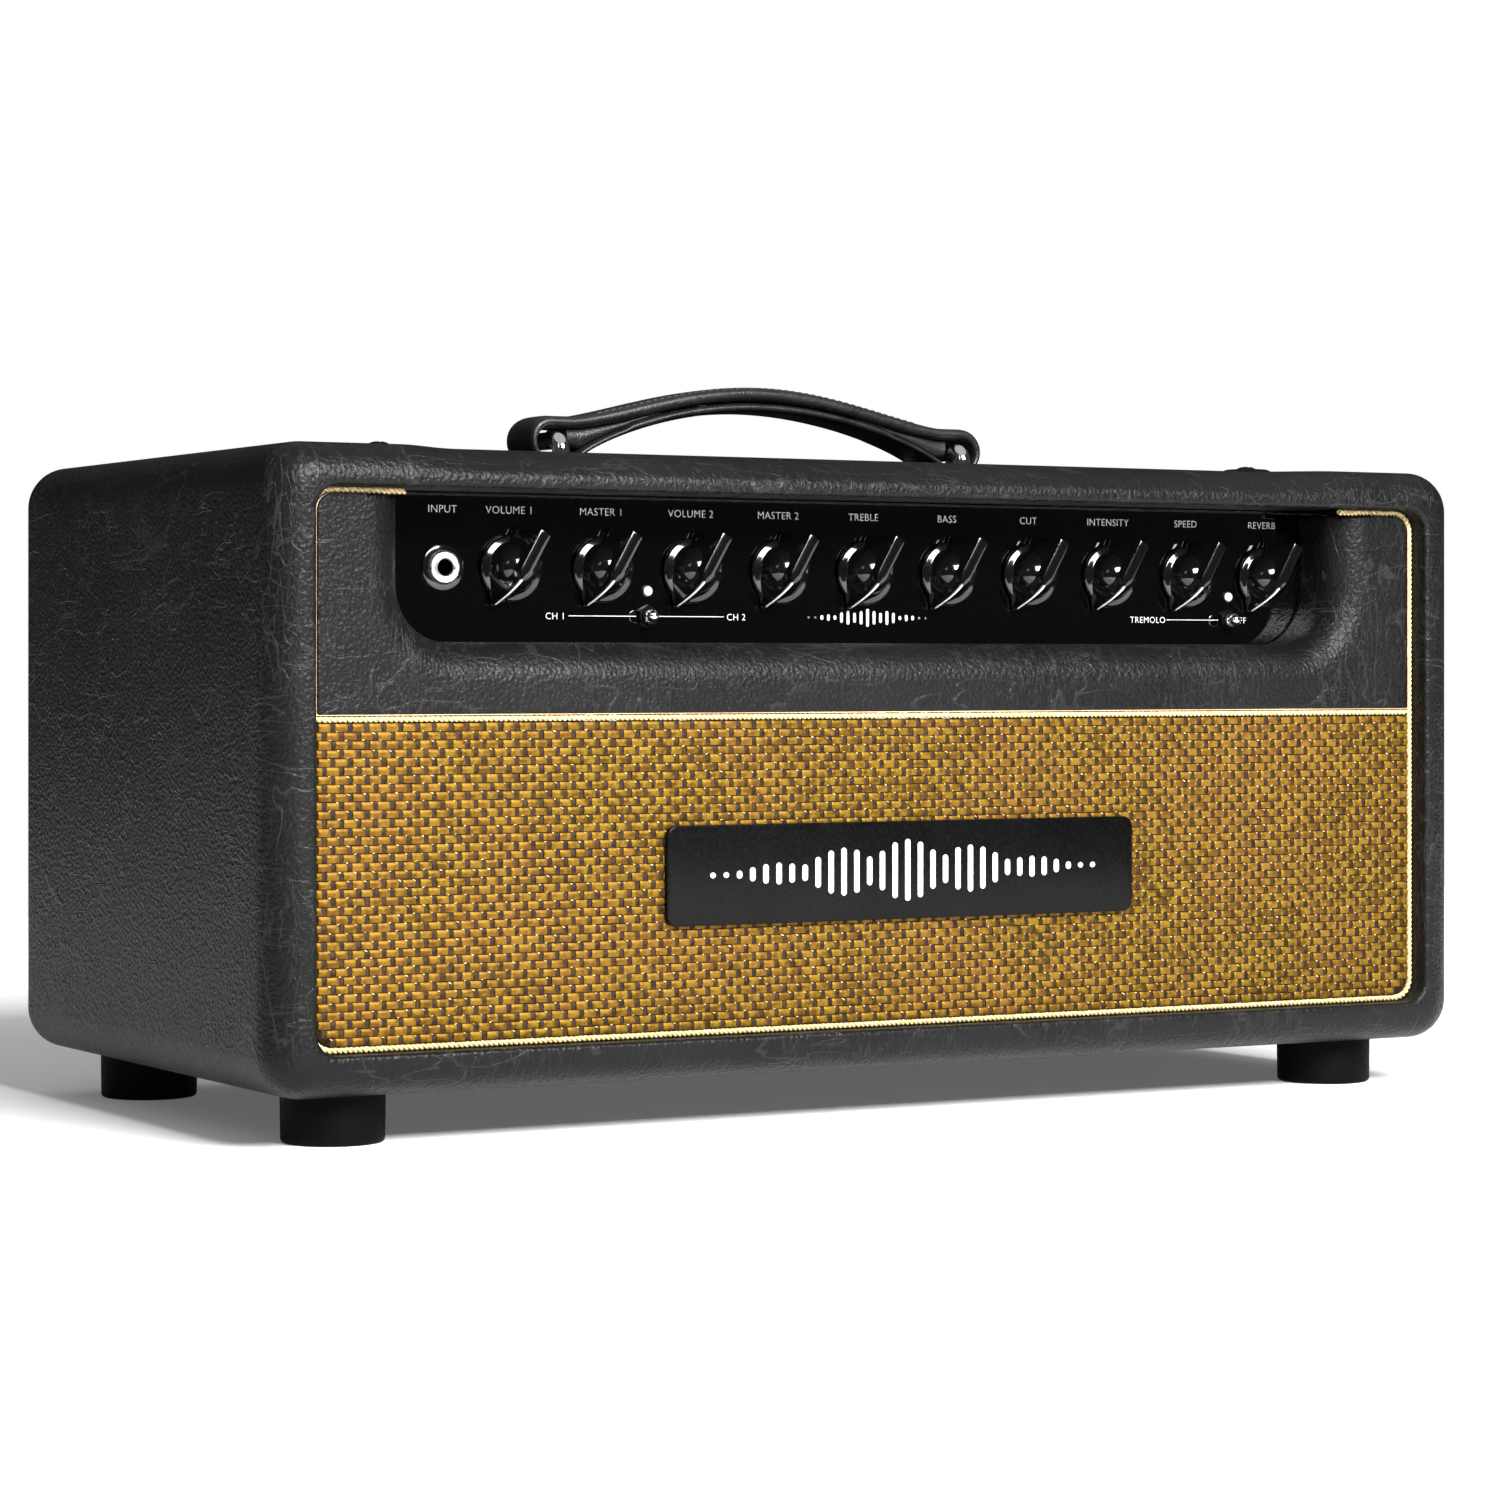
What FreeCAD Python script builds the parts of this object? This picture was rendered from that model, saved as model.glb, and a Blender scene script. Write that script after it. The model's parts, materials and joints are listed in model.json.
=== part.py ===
import FreeCAD, Part
import math
import os

import Sketcher

# A valve guitar amplifier head. Millimetres; +X to the player's right of the panel, +Y to the back,
# +Z up. The origin is on the floor, under the middle of the cabinet.

DRIVING_SIZES = [
    # the cabinet
    ("cabinet_width", 559.0), ("cabinet_depth", 274.4), ("cabinet_height", 246.6),
    ("foot_height", 19.8), ("foot_radius", 20.25), ("foot_inset_x", 42.7), ("foot_inset_y", 41.2),
    ("side_wall", 18.6), ("deck_wall", 16.6), ("skin", 0.6), ("skin_wrap", 40.0),
    ("corner_round", 17.4), ("front_round", 16.0), ("rear_round", 12.8),
    # the front
    ("baffle_recess", 8.0), ("baffle_thickness", 29.0), ("grille_board_thickness", 12.0),
    ("cloth", 1.2), ("edge_gap", 2.9), ("piping_radius", 1.4), ("piping_bend", 8.0),
    ("divider_height", 162.0), ("cutout_half_width", 220.0), ("cutout_bottom", 191.3),
    ("cutout_corner", 22.0), ("cutout_round", 16.0),
    ("plate_width", 220.5), ("plate_height", 39.5), ("plate_thickness", 2.4), ("plate_level", 99.8),
    # the chassis and its two panels
    ("chassis_half_width", 236.0), ("chassis_depth", 202.2), ("chassis_floor", 186.0),
    ("sheet_metal", 1.5), ("seam", 0.05), ("panel_thickness", 2.0), ("rear_plate", 1.2),
    ("flange_width", 34.0),
    ("bolt_reach_x", 209.0), ("bolt_reach_y", 77.0), ("bolt_radius", 2.5),
    # the controls
    ("control_level", 220.3), ("first_knob", -163.5), ("knob_pitch", 40.4), ("jack_reach", -192.5),
    ("toggle_level", 201.9), ("lamp_level", 211.9), ("channel_reach", -102.6),
    ("tremolo_reach", 181.8), ("skirt_radius", 13.25), ("knob_height", 16.0), ("shaft_radius", 3.0),
    ("jack_bore", 3.2), ("toggle_lean", 12.5),
    # the handle
    ("handle_reach", 98.8), ("post_reach", 17.0), ("post_radius", 3.75), ("post_height", 13.7),
    ("strap_width", 25.4), ("strap_arch", 35.5), ("strap_shoulder", 20.5), ("strap_loop", 10.1),
    # the back and the works inside
    ("rear_recess", 12.0), ("back_panel_top", 112.0), ("back_panel_thickness", 9.0),
    ("valve_radius", 10.6), ("socket_radius", 10.0), ("rear_level", 217.6),
]

doc = FreeCAD.newDocument("amp_head")
sheet = doc.addObject("Spreadsheet::Sheet", "Size")
nodes = []


# ---------------------------------------------------------------- sizes that know their expression

class Dim:
    """A size that carries its value and the sheet expression that gives it."""

    def __init__(self, value, text):
        self.value = value
        self.text = text

    def __add__(self, other):
        return joined(self, "+", other, self.value + value_of(other))

    def __radd__(self, other):
        return joined(other, "+", self, value_of(other) + self.value)

    def __sub__(self, other):
        return joined(self, "-", other, self.value - value_of(other))

    def __rsub__(self, other):
        return joined(other, "-", self, value_of(other) - self.value)

    def __mul__(self, other):
        return joined(self, "*", other, self.value * value_of(other))

    def __rmul__(self, other):
        return joined(other, "*", self, value_of(other) * self.value)

    def __truediv__(self, other):
        return joined(self, "/", other, self.value / value_of(other))

    def __neg__(self):
        return 0 - self


def value_of(size):
    return size.value if isinstance(size, Dim) else size


def text_of(size):
    return size.text if isinstance(size, Dim) else "(%r)" % size


def joined(left, sign, right, value):
    return Dim(value, "(%s %s %s)" % (text_of(left), sign, text_of(right)))


def fill_sheet():
    """Write the driving sizes and return each as a Dim under its alias."""
    sizes = {}
    for row, (alias, value) in enumerate(DRIVING_SIZES, 1):
        sheet.set("A%d" % row, alias)
        sheet.set("B%d" % row, str(value))
        sheet.setAlias("B%d" % row, alias)
        sizes[alias] = Dim(value, "Size." + alias)
    doc.recompute()
    return sizes


S = fill_sheet()


def bind(item, name, size):
    """Set a property from a plain number, or bind it to the sheet."""
    if isinstance(size, Dim):
        item.setExpression(name, size.text)
    else:
        item.setExpression(name, repr(float(size)))


# ---------------------------------------------------------------- building blocks

TURNS = {
    "+Z": FreeCAD.Rotation(),
    "+Y": FreeCAD.Rotation(FreeCAD.Vector(1, 0, 0), -90),
    "-Y": FreeCAD.Rotation(FreeCAD.Vector(1, 0, 0), 90),
    "+X": FreeCAD.Rotation(FreeCAD.Vector(0, 1, 0), 90),
}


def place(item, at, turn=None):
    """Give an item its rotation and bind its position."""
    if turn is not None:
        item.Placement = FreeCAD.Placement(FreeCAD.Vector(), turn)
    for axis, size in zip("xyz", at):
        bind(item, "Placement.Base." + axis, size)
    return item


def slab(name, x, y, z):
    """A box between two limits on each axis."""
    box = doc.addObject("Part::Box", name)
    for side, (low, high) in zip(("Length", "Width", "Height"), (x, y, z)):
        bind(box, side, high - low)
    return place(box, (x[0], y[0], z[0]))


def rod(name, radius, length, at, axis="+Z"):
    cylinder = doc.addObject("Part::Cylinder", name)
    bind(cylinder, "Radius", radius)
    bind(cylinder, "Height", length)
    return place(cylinder, at, TURNS[axis])


def cone(name, low_radius, high_radius, length, at=(0, 0, 0)):
    item = doc.addObject("Part::Cone", name)
    bind(item, "Radius1", low_radius)
    bind(item, "Radius2", high_radius)
    bind(item, "Height", length)
    return place(item, at)


def ball(name, radius, at=(0, 0, 0)):
    item = doc.addObject("Part::Sphere", name)
    bind(item, "Radius", radius)
    return place(item, at)


def hexagon(name, across_flats, length, at, axis="+Z"):
    prism = doc.addObject("Part::Prism", name)
    prism.Polygon = 6
    bind(prism, "Circumradius", across_flats / math.sqrt(3))
    bind(prism, "Height", length)
    return place(prism, at, TURNS[axis])


def bend(name, radius, section, at, turn, sweep=90):
    """A piece of a ring: part of a torus about its own Z, starting at its own X."""
    ring = doc.addObject("Part::Torus", name)
    bind(ring, "Radius1", radius)
    bind(ring, "Radius2", section)
    bind(ring, "Angle3", sweep)
    return place(ring, at, turn)


def cut(name, base, *tools):
    item = doc.addObject("Part::Cut", name)
    item.Base = base
    item.Tool = tools[0] if len(tools) == 1 else together(name + "_tools", *tools)
    return item


def fuse(name, *parts):
    item = doc.addObject("Part::MultiFuse", name)
    item.Shapes = list(parts)
    return item


def common(name, first, second):
    item = doc.addObject("Part::Common", name)
    item.Base = first
    item.Tool = second
    return item


def together(name, *parts):
    """Separate solids kept as one object."""
    item = doc.addObject("Part::Compound", name)
    item.Links = list(parts)
    return item


def copies(name, source, places, turn=None):
    """One linked copy of the source at each place, as separate solids."""
    links = []
    for number, at in enumerate(places):
        link = doc.addObject("App::Link", "%s_copy_%d" % (name, number))
        link.LinkedObject = source
        links.append(place(link, at, turn))
    return together(name, *links)


def rounded(name, base, picks):
    """Fillet the edges that each pick chooses: pairs of a radius and a test on the edge."""
    doc.recompute()
    item = doc.addObject("Part::Fillet", name)
    item.Base = base
    edges = []
    for radius, test in picks:
        for number, edge in enumerate(base.Shape.Edges, 1):
            if test(edge):
                edges.append((number, value_of(radius), value_of(radius)))
    item.Edges = edges
    return item


def runs_along(edge, axis):
    """Whether a straight edge is parallel to an axis, given as 0, 1 or 2."""
    if edge.Curve.TypeId != "Part::GeomLine":
        return False
    return abs(abs(edge.tangentAt(edge.FirstParameter)[axis]) - 1) < 1e-6


def lies_at(edge, axis, level):
    """Whether a whole edge lies in the plane where an axis has the given value."""
    box = edge.BoundBox
    low = (box.XMin, box.YMin, box.ZMin)[axis]
    high = (box.XMax, box.YMax, box.ZMax)[axis]
    return abs(low - value_of(level)) < 0.01 and abs(high - value_of(level)) < 0.01


def sketch_on(body, role, name, offset=0):
    """A sketch on one of the body's own origin planes, moved along the plane's normal."""
    sketch = body.newObject("Sketcher::SketchObject", name)
    plane = next(f for f in body.Origin.OriginFeatures if f.Role == role)
    sketch.AttachmentSupport = [(plane, "")]
    sketch.MapMode = "FlatFace"
    bind(sketch, "AttachmentOffset.Base.z", offset)
    return sketch


def pin_down(sketch, kind, geometry, point, size):
    """Constrain one coordinate of a sketch point, bound to the sheet."""
    if value_of(size) == 0:
        axis = -2 if kind == "DistanceX" else -1
        sketch.addConstraint(Sketcher.Constraint("PointOnObject", geometry, point, axis))
        return
    number = sketch.addConstraint(Sketcher.Constraint(kind, geometry, point, value_of(size)))
    bind(sketch, "Constraints[%d]" % number, size)


def draw_outline(sketch, points):
    """A closed outline of straight lines through points that are all constrained."""
    corners = [FreeCAD.Vector(value_of(x), value_of(y), 0) for x, y in points]
    count = len(corners)
    first = sketch.GeometryCount
    for i in range(count):
        sketch.addGeometry(Part.LineSegment(corners[i], corners[(i + 1) % count]))
    for i in range(count):
        following = first + (i + 1) % count
        sketch.addConstraint(Sketcher.Constraint("Coincident", first + i, 2, following, 1))
    for i, (x, y) in enumerate(points):
        pin_down(sketch, "DistanceX", first + i, 1, x)
        pin_down(sketch, "DistanceY", first + i, 1, y)


def turned(name, profile, at=(0, 0, 0), axis="+Z"):
    """A body revolved about its own Z, from points of radius and height."""
    body = doc.addObject("PartDesign::Body", name)
    sketch = sketch_on(body, "XZ_Plane", name + "_profile")
    draw_outline(sketch, profile)
    spin = body.newObject("PartDesign::Revolution", name + "_revolution")
    spin.Profile = sketch
    spin.ReferenceAxis = (sketch, ["V_Axis"])
    spin.Angle = 360
    return place(body, at, TURNS[axis])


def extruded(name, role, points, length, offset=0):
    """A body padded from a straight-sided outline on one of its origin planes."""
    body = doc.addObject("PartDesign::Body", name)
    sketch = sketch_on(body, role, name + "_outline", offset)
    draw_outline(sketch, points)
    pad = body.newObject("PartDesign::Pad", name + "_pad")
    pad.Profile = sketch
    bind(pad, "Length", length)
    return body


def keep(item, label=None):
    """Mark an object as one of the sub-parts that are written out."""
    item.Label = label or item.Name
    nodes.append(item)
    return item


# ---------------------------------------------------------------- places that many parts share

HALF_WIDTH = S["cabinet_width"] / 2
FRONT = -S["cabinet_depth"] / 2
BACK = S["cabinet_depth"] / 2
BASE = S["foot_height"]
TOP = S["foot_height"] + S["cabinet_height"]
OPENING_X = HALF_WIDTH - S["side_wall"]
OPENING_LOW = BASE + S["deck_wall"]
OPENING_HIGH = TOP - S["deck_wall"]
BAFFLE_FACE = FRONT + S["baffle_recess"]
PANEL_FACE = BAFFLE_FACE + S["baffle_thickness"]
CHASSIS_FACE = PANEL_FACE + S["panel_thickness"]
CHASSIS_BACK = CHASSIS_FACE + S["chassis_depth"]
CHASSIS_TOP = OPENING_HIGH - 0.6
PLATE_BACK = CHASSIS_BACK + S["rear_plate"]
BAFFLE_X = OPENING_X - S["edge_gap"]
CORD_ROOM = S["piping_radius"] + 0.05

FEET = [(sx * (HALF_WIDTH - S["foot_inset_x"]), sy * (BACK - S["foot_inset_y"]))
        for sx in (-1, 1) for sy in (-1, 1)]
BOLTS = [(sx * S["bolt_reach_x"], sy * S["bolt_reach_y"]) for sx in (-1, 1) for sy in (-1, 1)]
POSTS = [(sx * S["handle_reach"], sy * S["post_reach"]) for sx in (-1, 1) for sy in (-1, 1)]
HANDLE_SCREWS = [(x + side * 8.5, y) for x, y in POSTS for side in (-1, 1)]

KNOBS = ["volume_1", "master_1", "volume_2", "master_2", "treble", "bass", "cut",
         "intensity", "speed", "reverb"]
KNOB_X = [S["first_knob"] + S["knob_pitch"] * number for number in range(len(KNOBS))]
TOGGLES = [("channel", S["channel_reach"]), ("tremolo", S["tremolo_reach"])]

PREAMP_VALVES = [(-200 + 45 * number, -35) for number in range(6)]
POWER_VALVES = [(-25 + 36 * number, 50) for number in range(4)]

INLET_X = 200
FUSE_X = 160
REAR_TOGGLES = [("mains", 126), ("standby", 94)]
REAR_JACKS = [46, 16, -14, -74, -104, -164]


# ---------------------------------------------------------------- the cabinet

# Along the middle of its front edge the top board is scooped: a long flat quarter ellipse takes the
# place of the small round, and eases into it at both ends.
SCOOP_REACH, SCOOP_RUN = 222.0, 34.0
SCOOP_DEEP, SCOOP_LIP = 40.0, 3.2
SMALL_DEEP, SMALL_LIP = 16.0, 2.0


def rounded_block(name, inset):
    """The cabinet's outer form, taken in by inset on every side."""
    block = slab(name + "_block", (inset - HALF_WIDTH, HALF_WIDTH - inset),
                 (FRONT + inset, BACK - inset), (BASE + inset, TOP - inset))
    sides = rounded(name + "_sides", block,
                    [(S["corner_round"] - inset, lambda edge: runs_along(edge, 1))])
    return rounded(name, sides, [
        (S["front_round"] - inset, lambda edge: lies_at(edge, 1, FRONT + inset)),
        (S["rear_round"] - inset, lambda edge: lies_at(edge, 1, BACK - inset))])


def scoop_share(x):
    """How much of the full scoop the top board's front edge has at x, from 0 to 1."""
    run = min(max((SCOOP_REACH - abs(x)) / SCOOP_RUN, 0.0), 1.0)
    return run * run * (3 - 2 * run)


def scoop_section(x):
    """The closed outline, at x, of what the scoop takes off above its quarter ellipse."""
    share = scoop_share(x)
    deep = SMALL_DEEP + (SCOOP_DEEP - SMALL_DEEP) * share
    lip = SMALL_LIP + (SCOOP_LIP - SMALL_LIP) * share
    tall = value_of(S["deck_wall"]) - lip
    front, top = value_of(FRONT), value_of(TOP)
    last = math.acos(0.1)
    arc = [FreeCAD.Vector(x, front + deep * (1 - math.cos(last * i / 10)),
                          top - tall * (1 - math.sin(last * i / 10))) for i in range(11)]
    start = FreeCAD.Vector(x, front - 2, arc[0].z)
    slope = tall / deep * 0.1 / math.sin(last)
    beyond = FreeCAD.Vector(x, arc[-1].y + 20, arc[-1].z + 20 * slope)
    above = [FreeCAD.Vector(x, beyond.y, top + 5), FreeCAD.Vector(x, front - 2, top + 5)]
    curve = Part.BSplineCurve()
    curve.interpolate(arc)
    straight = [Part.LineSegment(a, b).toShape()
                for a, b in ((arc[-1], beyond), (beyond, above[0]), above, (above[1], start),
                             (start, arc[0]))]
    return Part.Wire([curve.toShape(), *straight])


def make_scoop(name, lower):
    """The tool that carves the scoop along the top board's front edge, set back by lower."""
    stations = [SCOOP_REACH - SCOOP_RUN * i / 6 for i in range(7)]
    sections = []
    for number, x in enumerate([-x for x in stations] + stations[::-1]):
        section = doc.addObject("Part::Feature", "%s_section_%d" % (name, number))
        section.Shape = scoop_section(x)
        sections.append(section)
    tool = doc.addObject("Part::Loft", name)
    tool.Sections = sections
    tool.Solid = True
    tool.Ruled = True
    return place(tool, (0, lower, -lower))


def top_holes(name, places, radius):
    """Drills down through the top board."""
    return [rod("%s_%d" % (name, number), radius, S["deck_wall"] + 2, (x, y, OPENING_HIGH - 1))
            for number, (x, y) in enumerate(places)]


def make_cabinet():
    """Four mitred boards under one glued covering."""
    skin = S["skin"]
    outer = cut("scooped_form", rounded_block("covered_form", 0), make_scoop("scoop", 0))
    wooden = cut("scooped_wood", rounded_block("wooden_form", skin), make_scoop("wood_scoop", skin))
    through = slab("front_to_back_opening", (-OPENING_X, OPENING_X), (FRONT - 1, BACK + 1),
                   (OPENING_LOW, OPENING_HIGH))
    bare = slab("bare_wood_opening", (-OPENING_X - skin, OPENING_X + skin), (FRONT - 1, BACK + 1),
                (OPENING_LOW - skin, OPENING_HIGH + skin))
    middle = slab("unlined_middle", (-OPENING_X - skin, OPENING_X + skin),
                  (FRONT + S["skin_wrap"], BACK - S["skin_wrap"]),
                  (OPENING_LOW - skin, OPENING_HIGH + skin))
    drills = together("cabinet_drills",
                      *top_holes("bolt_hole", BOLTS, S["bolt_radius"] + 0.2),
                      *top_holes("handle_screw_hole", HANDLE_SCREWS, 1.8),
                      *[rod("foot_screw_hole_%d" % number, 2.4, S["deck_wall"] - 1, (x, y, BASE - 1))
                        for number, (x, y) in enumerate(FEET)])
    wood = cut("wooden_frame", wooden, bare, drills)
    skin_blank = cut("covering_blank", outer, wooden, through, middle, drills)
    lining = common("lining_ring", cut("lining_blank", bare, through, middle), wooden)
    keep(fuse("cabinet_covering", skin_blank, cut("lining", lining, drills)))

    corner_x = OPENING_X + skin
    low, high = OPENING_LOW - skin, OPENING_HIGH + skin
    regions = {
        "left_board": [(-HALF_WIDTH, BASE), (-corner_x, low), (-corner_x, high), (-HALF_WIDTH, TOP)],
        "right_board": [(HALF_WIDTH, BASE), (HALF_WIDTH, TOP), (corner_x, high), (corner_x, low)],
        "top_board": [(-HALF_WIDTH, TOP), (-corner_x, high), (corner_x, high), (HALF_WIDTH, TOP)],
        "bottom_board": [(-HALF_WIDTH, BASE), (HALF_WIDTH, BASE), (corner_x, low), (-corner_x, low)],
    }
    for name, corners in regions.items():
        region = extruded(name + "_region", "XZ_Plane", corners, S["cabinet_depth"] + 2, -BACK - 1)
        keep(common(name, wood, region))


def make_feet():
    """Four rubber feet, each on one screw from below."""
    radius = S["foot_radius"]
    foot = turned("foot", [(2.4, BASE), (radius, BASE), (radius, 1.5), (radius - 1.5, 0), (8, 0),
                           (8, 11), (2.4, 11)])
    keep(copies("rubber_feet", foot, [(x, y, 0) for x, y in FEET]))
    screw = turned("foot_screw", [(0, 8), (2.2, 8), (5, 9.2), (5, 11), (2.3, 11),
                                  (2.3, BASE + 12.6), (1, BASE + 14.4), (0, BASE + 14.4)])
    keep(copies("foot_screws", screw, [(x, y, 0) for x, y in FEET]))


# ---------------------------------------------------------------- the front

def u_board(name, inset, front):
    """The upper baffle's form: a board with a round-cornered cut-out, open at its top."""
    foot = S["divider_height"] + CORD_ROOM
    head = OPENING_HIGH - S["edge_gap"]
    square = slab(name + "_square", (-BAFFLE_X, BAFFLE_X), (front, PANEL_FACE), (foot, head))
    blank = rounded(name + "_blank", square, [
        (S["piping_bend"] - S["piping_radius"],
         lambda edge: runs_along(edge, 1) and edge.BoundBox.ZMin > value_of(head) - 1)])
    reach = S["cutout_half_width"] + inset
    level = S["cutout_bottom"] - inset
    hole = slab(name + "_hole", (-reach, reach), (front - 1, PANEL_FACE + 1), (level, head + 50))
    soft_hole = rounded(name + "_soft_hole", hole, [
        (S["cutout_corner"] + inset,
         lambda edge: runs_along(edge, 1) and abs(edge.BoundBox.ZMin - value_of(level)) < 0.01)])
    board = cut(name + "_board", blank, soft_hole)
    inside = value_of(reach) + 0.1

    def cutout_rim(edge):
        box = edge.BoundBox
        inner = max(abs(box.XMin), abs(box.XMax)) < inside
        return lies_at(edge, 1, front) and inner and box.ZMin > value_of(foot) + 1

    return rounded(name, board, [(S["cutout_round"] - inset, cutout_rim)])


def make_upper_baffle():
    """The wooden surround of the control panel and the covering glued over its face."""
    covered = u_board("covered_surround", 0, BAFFLE_FACE)
    wood = u_board("upper_baffle", S["skin"], BAFFLE_FACE + S["skin"])
    keep(cut("upper_baffle_covering", covered, wood))
    keep(wood)


def make_grille():
    """The lower baffle: a plywood board with grille cloth stretched over its face and edges.

    Returns the two wooden cleats that it is screwed to.
    """
    cloth = S["cloth"]
    low = OPENING_LOW + S["edge_gap"]
    high = S["divider_height"] - CORD_ROOM
    back = BAFFLE_FACE + cloth + S["grille_board_thickness"]
    corner = S["piping_bend"] - S["piping_radius"]

    def low_corner(edge):
        return runs_along(edge, 1) and edge.BoundBox.ZMax < value_of(low + cloth) + 1

    square = slab("square_cloth", (-BAFFLE_X, BAFFLE_X), (BAFFLE_FACE, back), (low, high))
    wrapped = rounded("wrapped_board", square, [(corner, low_corner)])
    core = slab("square_board", (cloth - BAFFLE_X, BAFFLE_X - cloth), (BAFFLE_FACE + cloth, back),
                (low + cloth, high - cloth))
    board = rounded("grille_board", core, [(corner - cloth, low_corner)])
    keep(cut("grille_cloth", wrapped, board))
    keep(board)
    plate = slab("plate_blank", (-S["plate_width"] / 2, S["plate_width"] / 2),
                 (BAFFLE_FACE - S["plate_thickness"], BAFFLE_FACE),
                 (S["plate_level"] - S["plate_height"] / 2, S["plate_level"] + S["plate_height"] / 2))
    keep(rounded("name_plate", plate, [(4.5, lambda edge: runs_along(edge, 1))]))
    cleats = [slab("cleat_%d" % number, span, (back, back + 18), (OPENING_LOW, high))
              for number, span in enumerate([(-OPENING_X, 18 - OPENING_X),
                                             (OPENING_X - 18, OPENING_X)])]
    return cleats


def make_piping():
    """Round cord in the gap about the baffle, and one straight run between its two parts."""
    radius, turn = S["piping_radius"], S["piping_bend"]
    reach = OPENING_X - radius - 0.05
    low = OPENING_LOW + radius + 0.05
    high = OPENING_HIGH - radius - 0.05
    y = BAFFLE_FACE + radius - 0.6
    end = S["cutout_half_width"] + 1
    pieces = [rod("piping_bottom", radius, (reach - turn) * 2, (turn - reach, y, low), "+X")]
    for side in (-1, 1):
        name = "left" if side < 0 else "right"
        pieces.append(rod("piping_%s_side" % name, radius, high - low - turn * 2,
                          (side * reach, y, low + turn)))
        start = end if side > 0 else turn - reach
        pieces.append(rod("piping_%s_top" % name, radius, reach - turn - end, (start, y, high), "+X"))
        for level, angle in ((low + turn, 180 if side < 0 else 270), (high - turn, 90 if side < 0 else 0)):
            upright = FreeCAD.Rotation(FreeCAD.Vector(0, 1, 0), -angle)
            face_on = upright.multiply(FreeCAD.Rotation(FreeCAD.Vector(1, 0, 0), 90))
            pieces.append(bend("piping_%s_%d" % (name, angle), turn, radius,
                               (side * (reach - turn), y, level), face_on))
    ring = fuse("perimeter_cord", *pieces)
    divider = rod("divider_cord", radius, BAFFLE_X * 2, (-BAFFLE_X, y, S["divider_height"]), "+X")
    keep(together("front_piping", ring, divider))


# ---------------------------------------------------------------- the handle

def strap_top(x):
    """Height of the strap's upper face above the cabinet, along its length."""
    span = value_of(S["handle_reach"]) * 0.911
    rise = value_of(S["strap_arch"] - S["strap_shoulder"])
    lift = math.cos(math.pi / 2 * min(abs(x) / span, 1)) ** 1.3
    return value_of(S["strap_shoulder"]) + rise * lift


def strap_bottom(x):
    """Height of the strap's lower face above the cabinet, along its length."""
    span = value_of(S["handle_reach"]) * 0.9
    lift = max(math.cos(math.pi / 2 * min(abs(x) / span, 1)), 0) ** 0.7
    return value_of(S["strap_shoulder"] - S["strap_loop"] * 2) + 25.0 * lift


def curve_through(height, reach, steps):
    """A smooth edge whose height is a function of x, from -reach to reach."""
    curve = Part.BSplineCurve()
    xs = [reach * (2 * i / steps - 1) for i in range(steps + 1)]
    curve.interpolate([FreeCAD.Vector(x, 0, height(x)) for x in xs])
    return curve.toShape()


def half_ring(x, level, radius, side):
    """A half circle that closes one end of the strap, bulging to its side."""
    return Part.Arc(FreeCAD.Vector(x, 0, level + radius), FreeCAD.Vector(x + side * radius, 0, level),
                    FreeCAD.Vector(x, 0, level - radius)).toShape()


def make_handle():
    """A leather strap that loops round a bar at each end."""
    reach = value_of(S["handle_reach"]) + 1.7
    loop = value_of(S["strap_loop"])
    level = value_of(S["strap_shoulder"]) - loop
    foot = level - loop
    width = value_of(S["strap_width"])
    flat = value_of(S["handle_reach"]) * 0.9
    edges = [curve_through(strap_top, reach, 24), curve_through(strap_bottom, flat, 24)]
    for side in (-1, 1):
        edges.append(half_ring(side * reach, level, loop, side))
        edges.append(Part.makeLine(FreeCAD.Vector(side * reach, 0, foot),
                                   FreeCAD.Vector(side * flat, 0, foot)))
    strap = Part.Face(Part.Wire(Part.__sortEdges__(edges)))
    inner = loop - 3.6
    for side in (-1, 1):
        mouth = half_ring(side * reach, level, inner, side)
        upper = FreeCAD.Vector(side * reach, 0, level + inner)
        lower = FreeCAD.Vector(side * reach, 0, level - inner)
        heel = FreeCAD.Vector(side * (reach - 9.5), 0, level - inner)
        tip = FreeCAD.Vector(side * (reach - 20.5), 0, level + 2.2)
        ring = [mouth, Part.makeLine(lower, heel), Part.makeLine(heel, tip), Part.makeLine(tip, upper)]
        strap = strap.cut(Part.Face(Part.Wire(Part.__sortEdges__(ring))))
    solid = strap.Faces[0].extrude(FreeCAD.Vector(0, width, 0))
    item = doc.addObject("Part::Feature", "handle_strap")
    item.Shape = solid
    place(item, (0, -S["strap_width"] / 2, TOP), FreeCAD.Rotation())
    keep(item)


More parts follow.
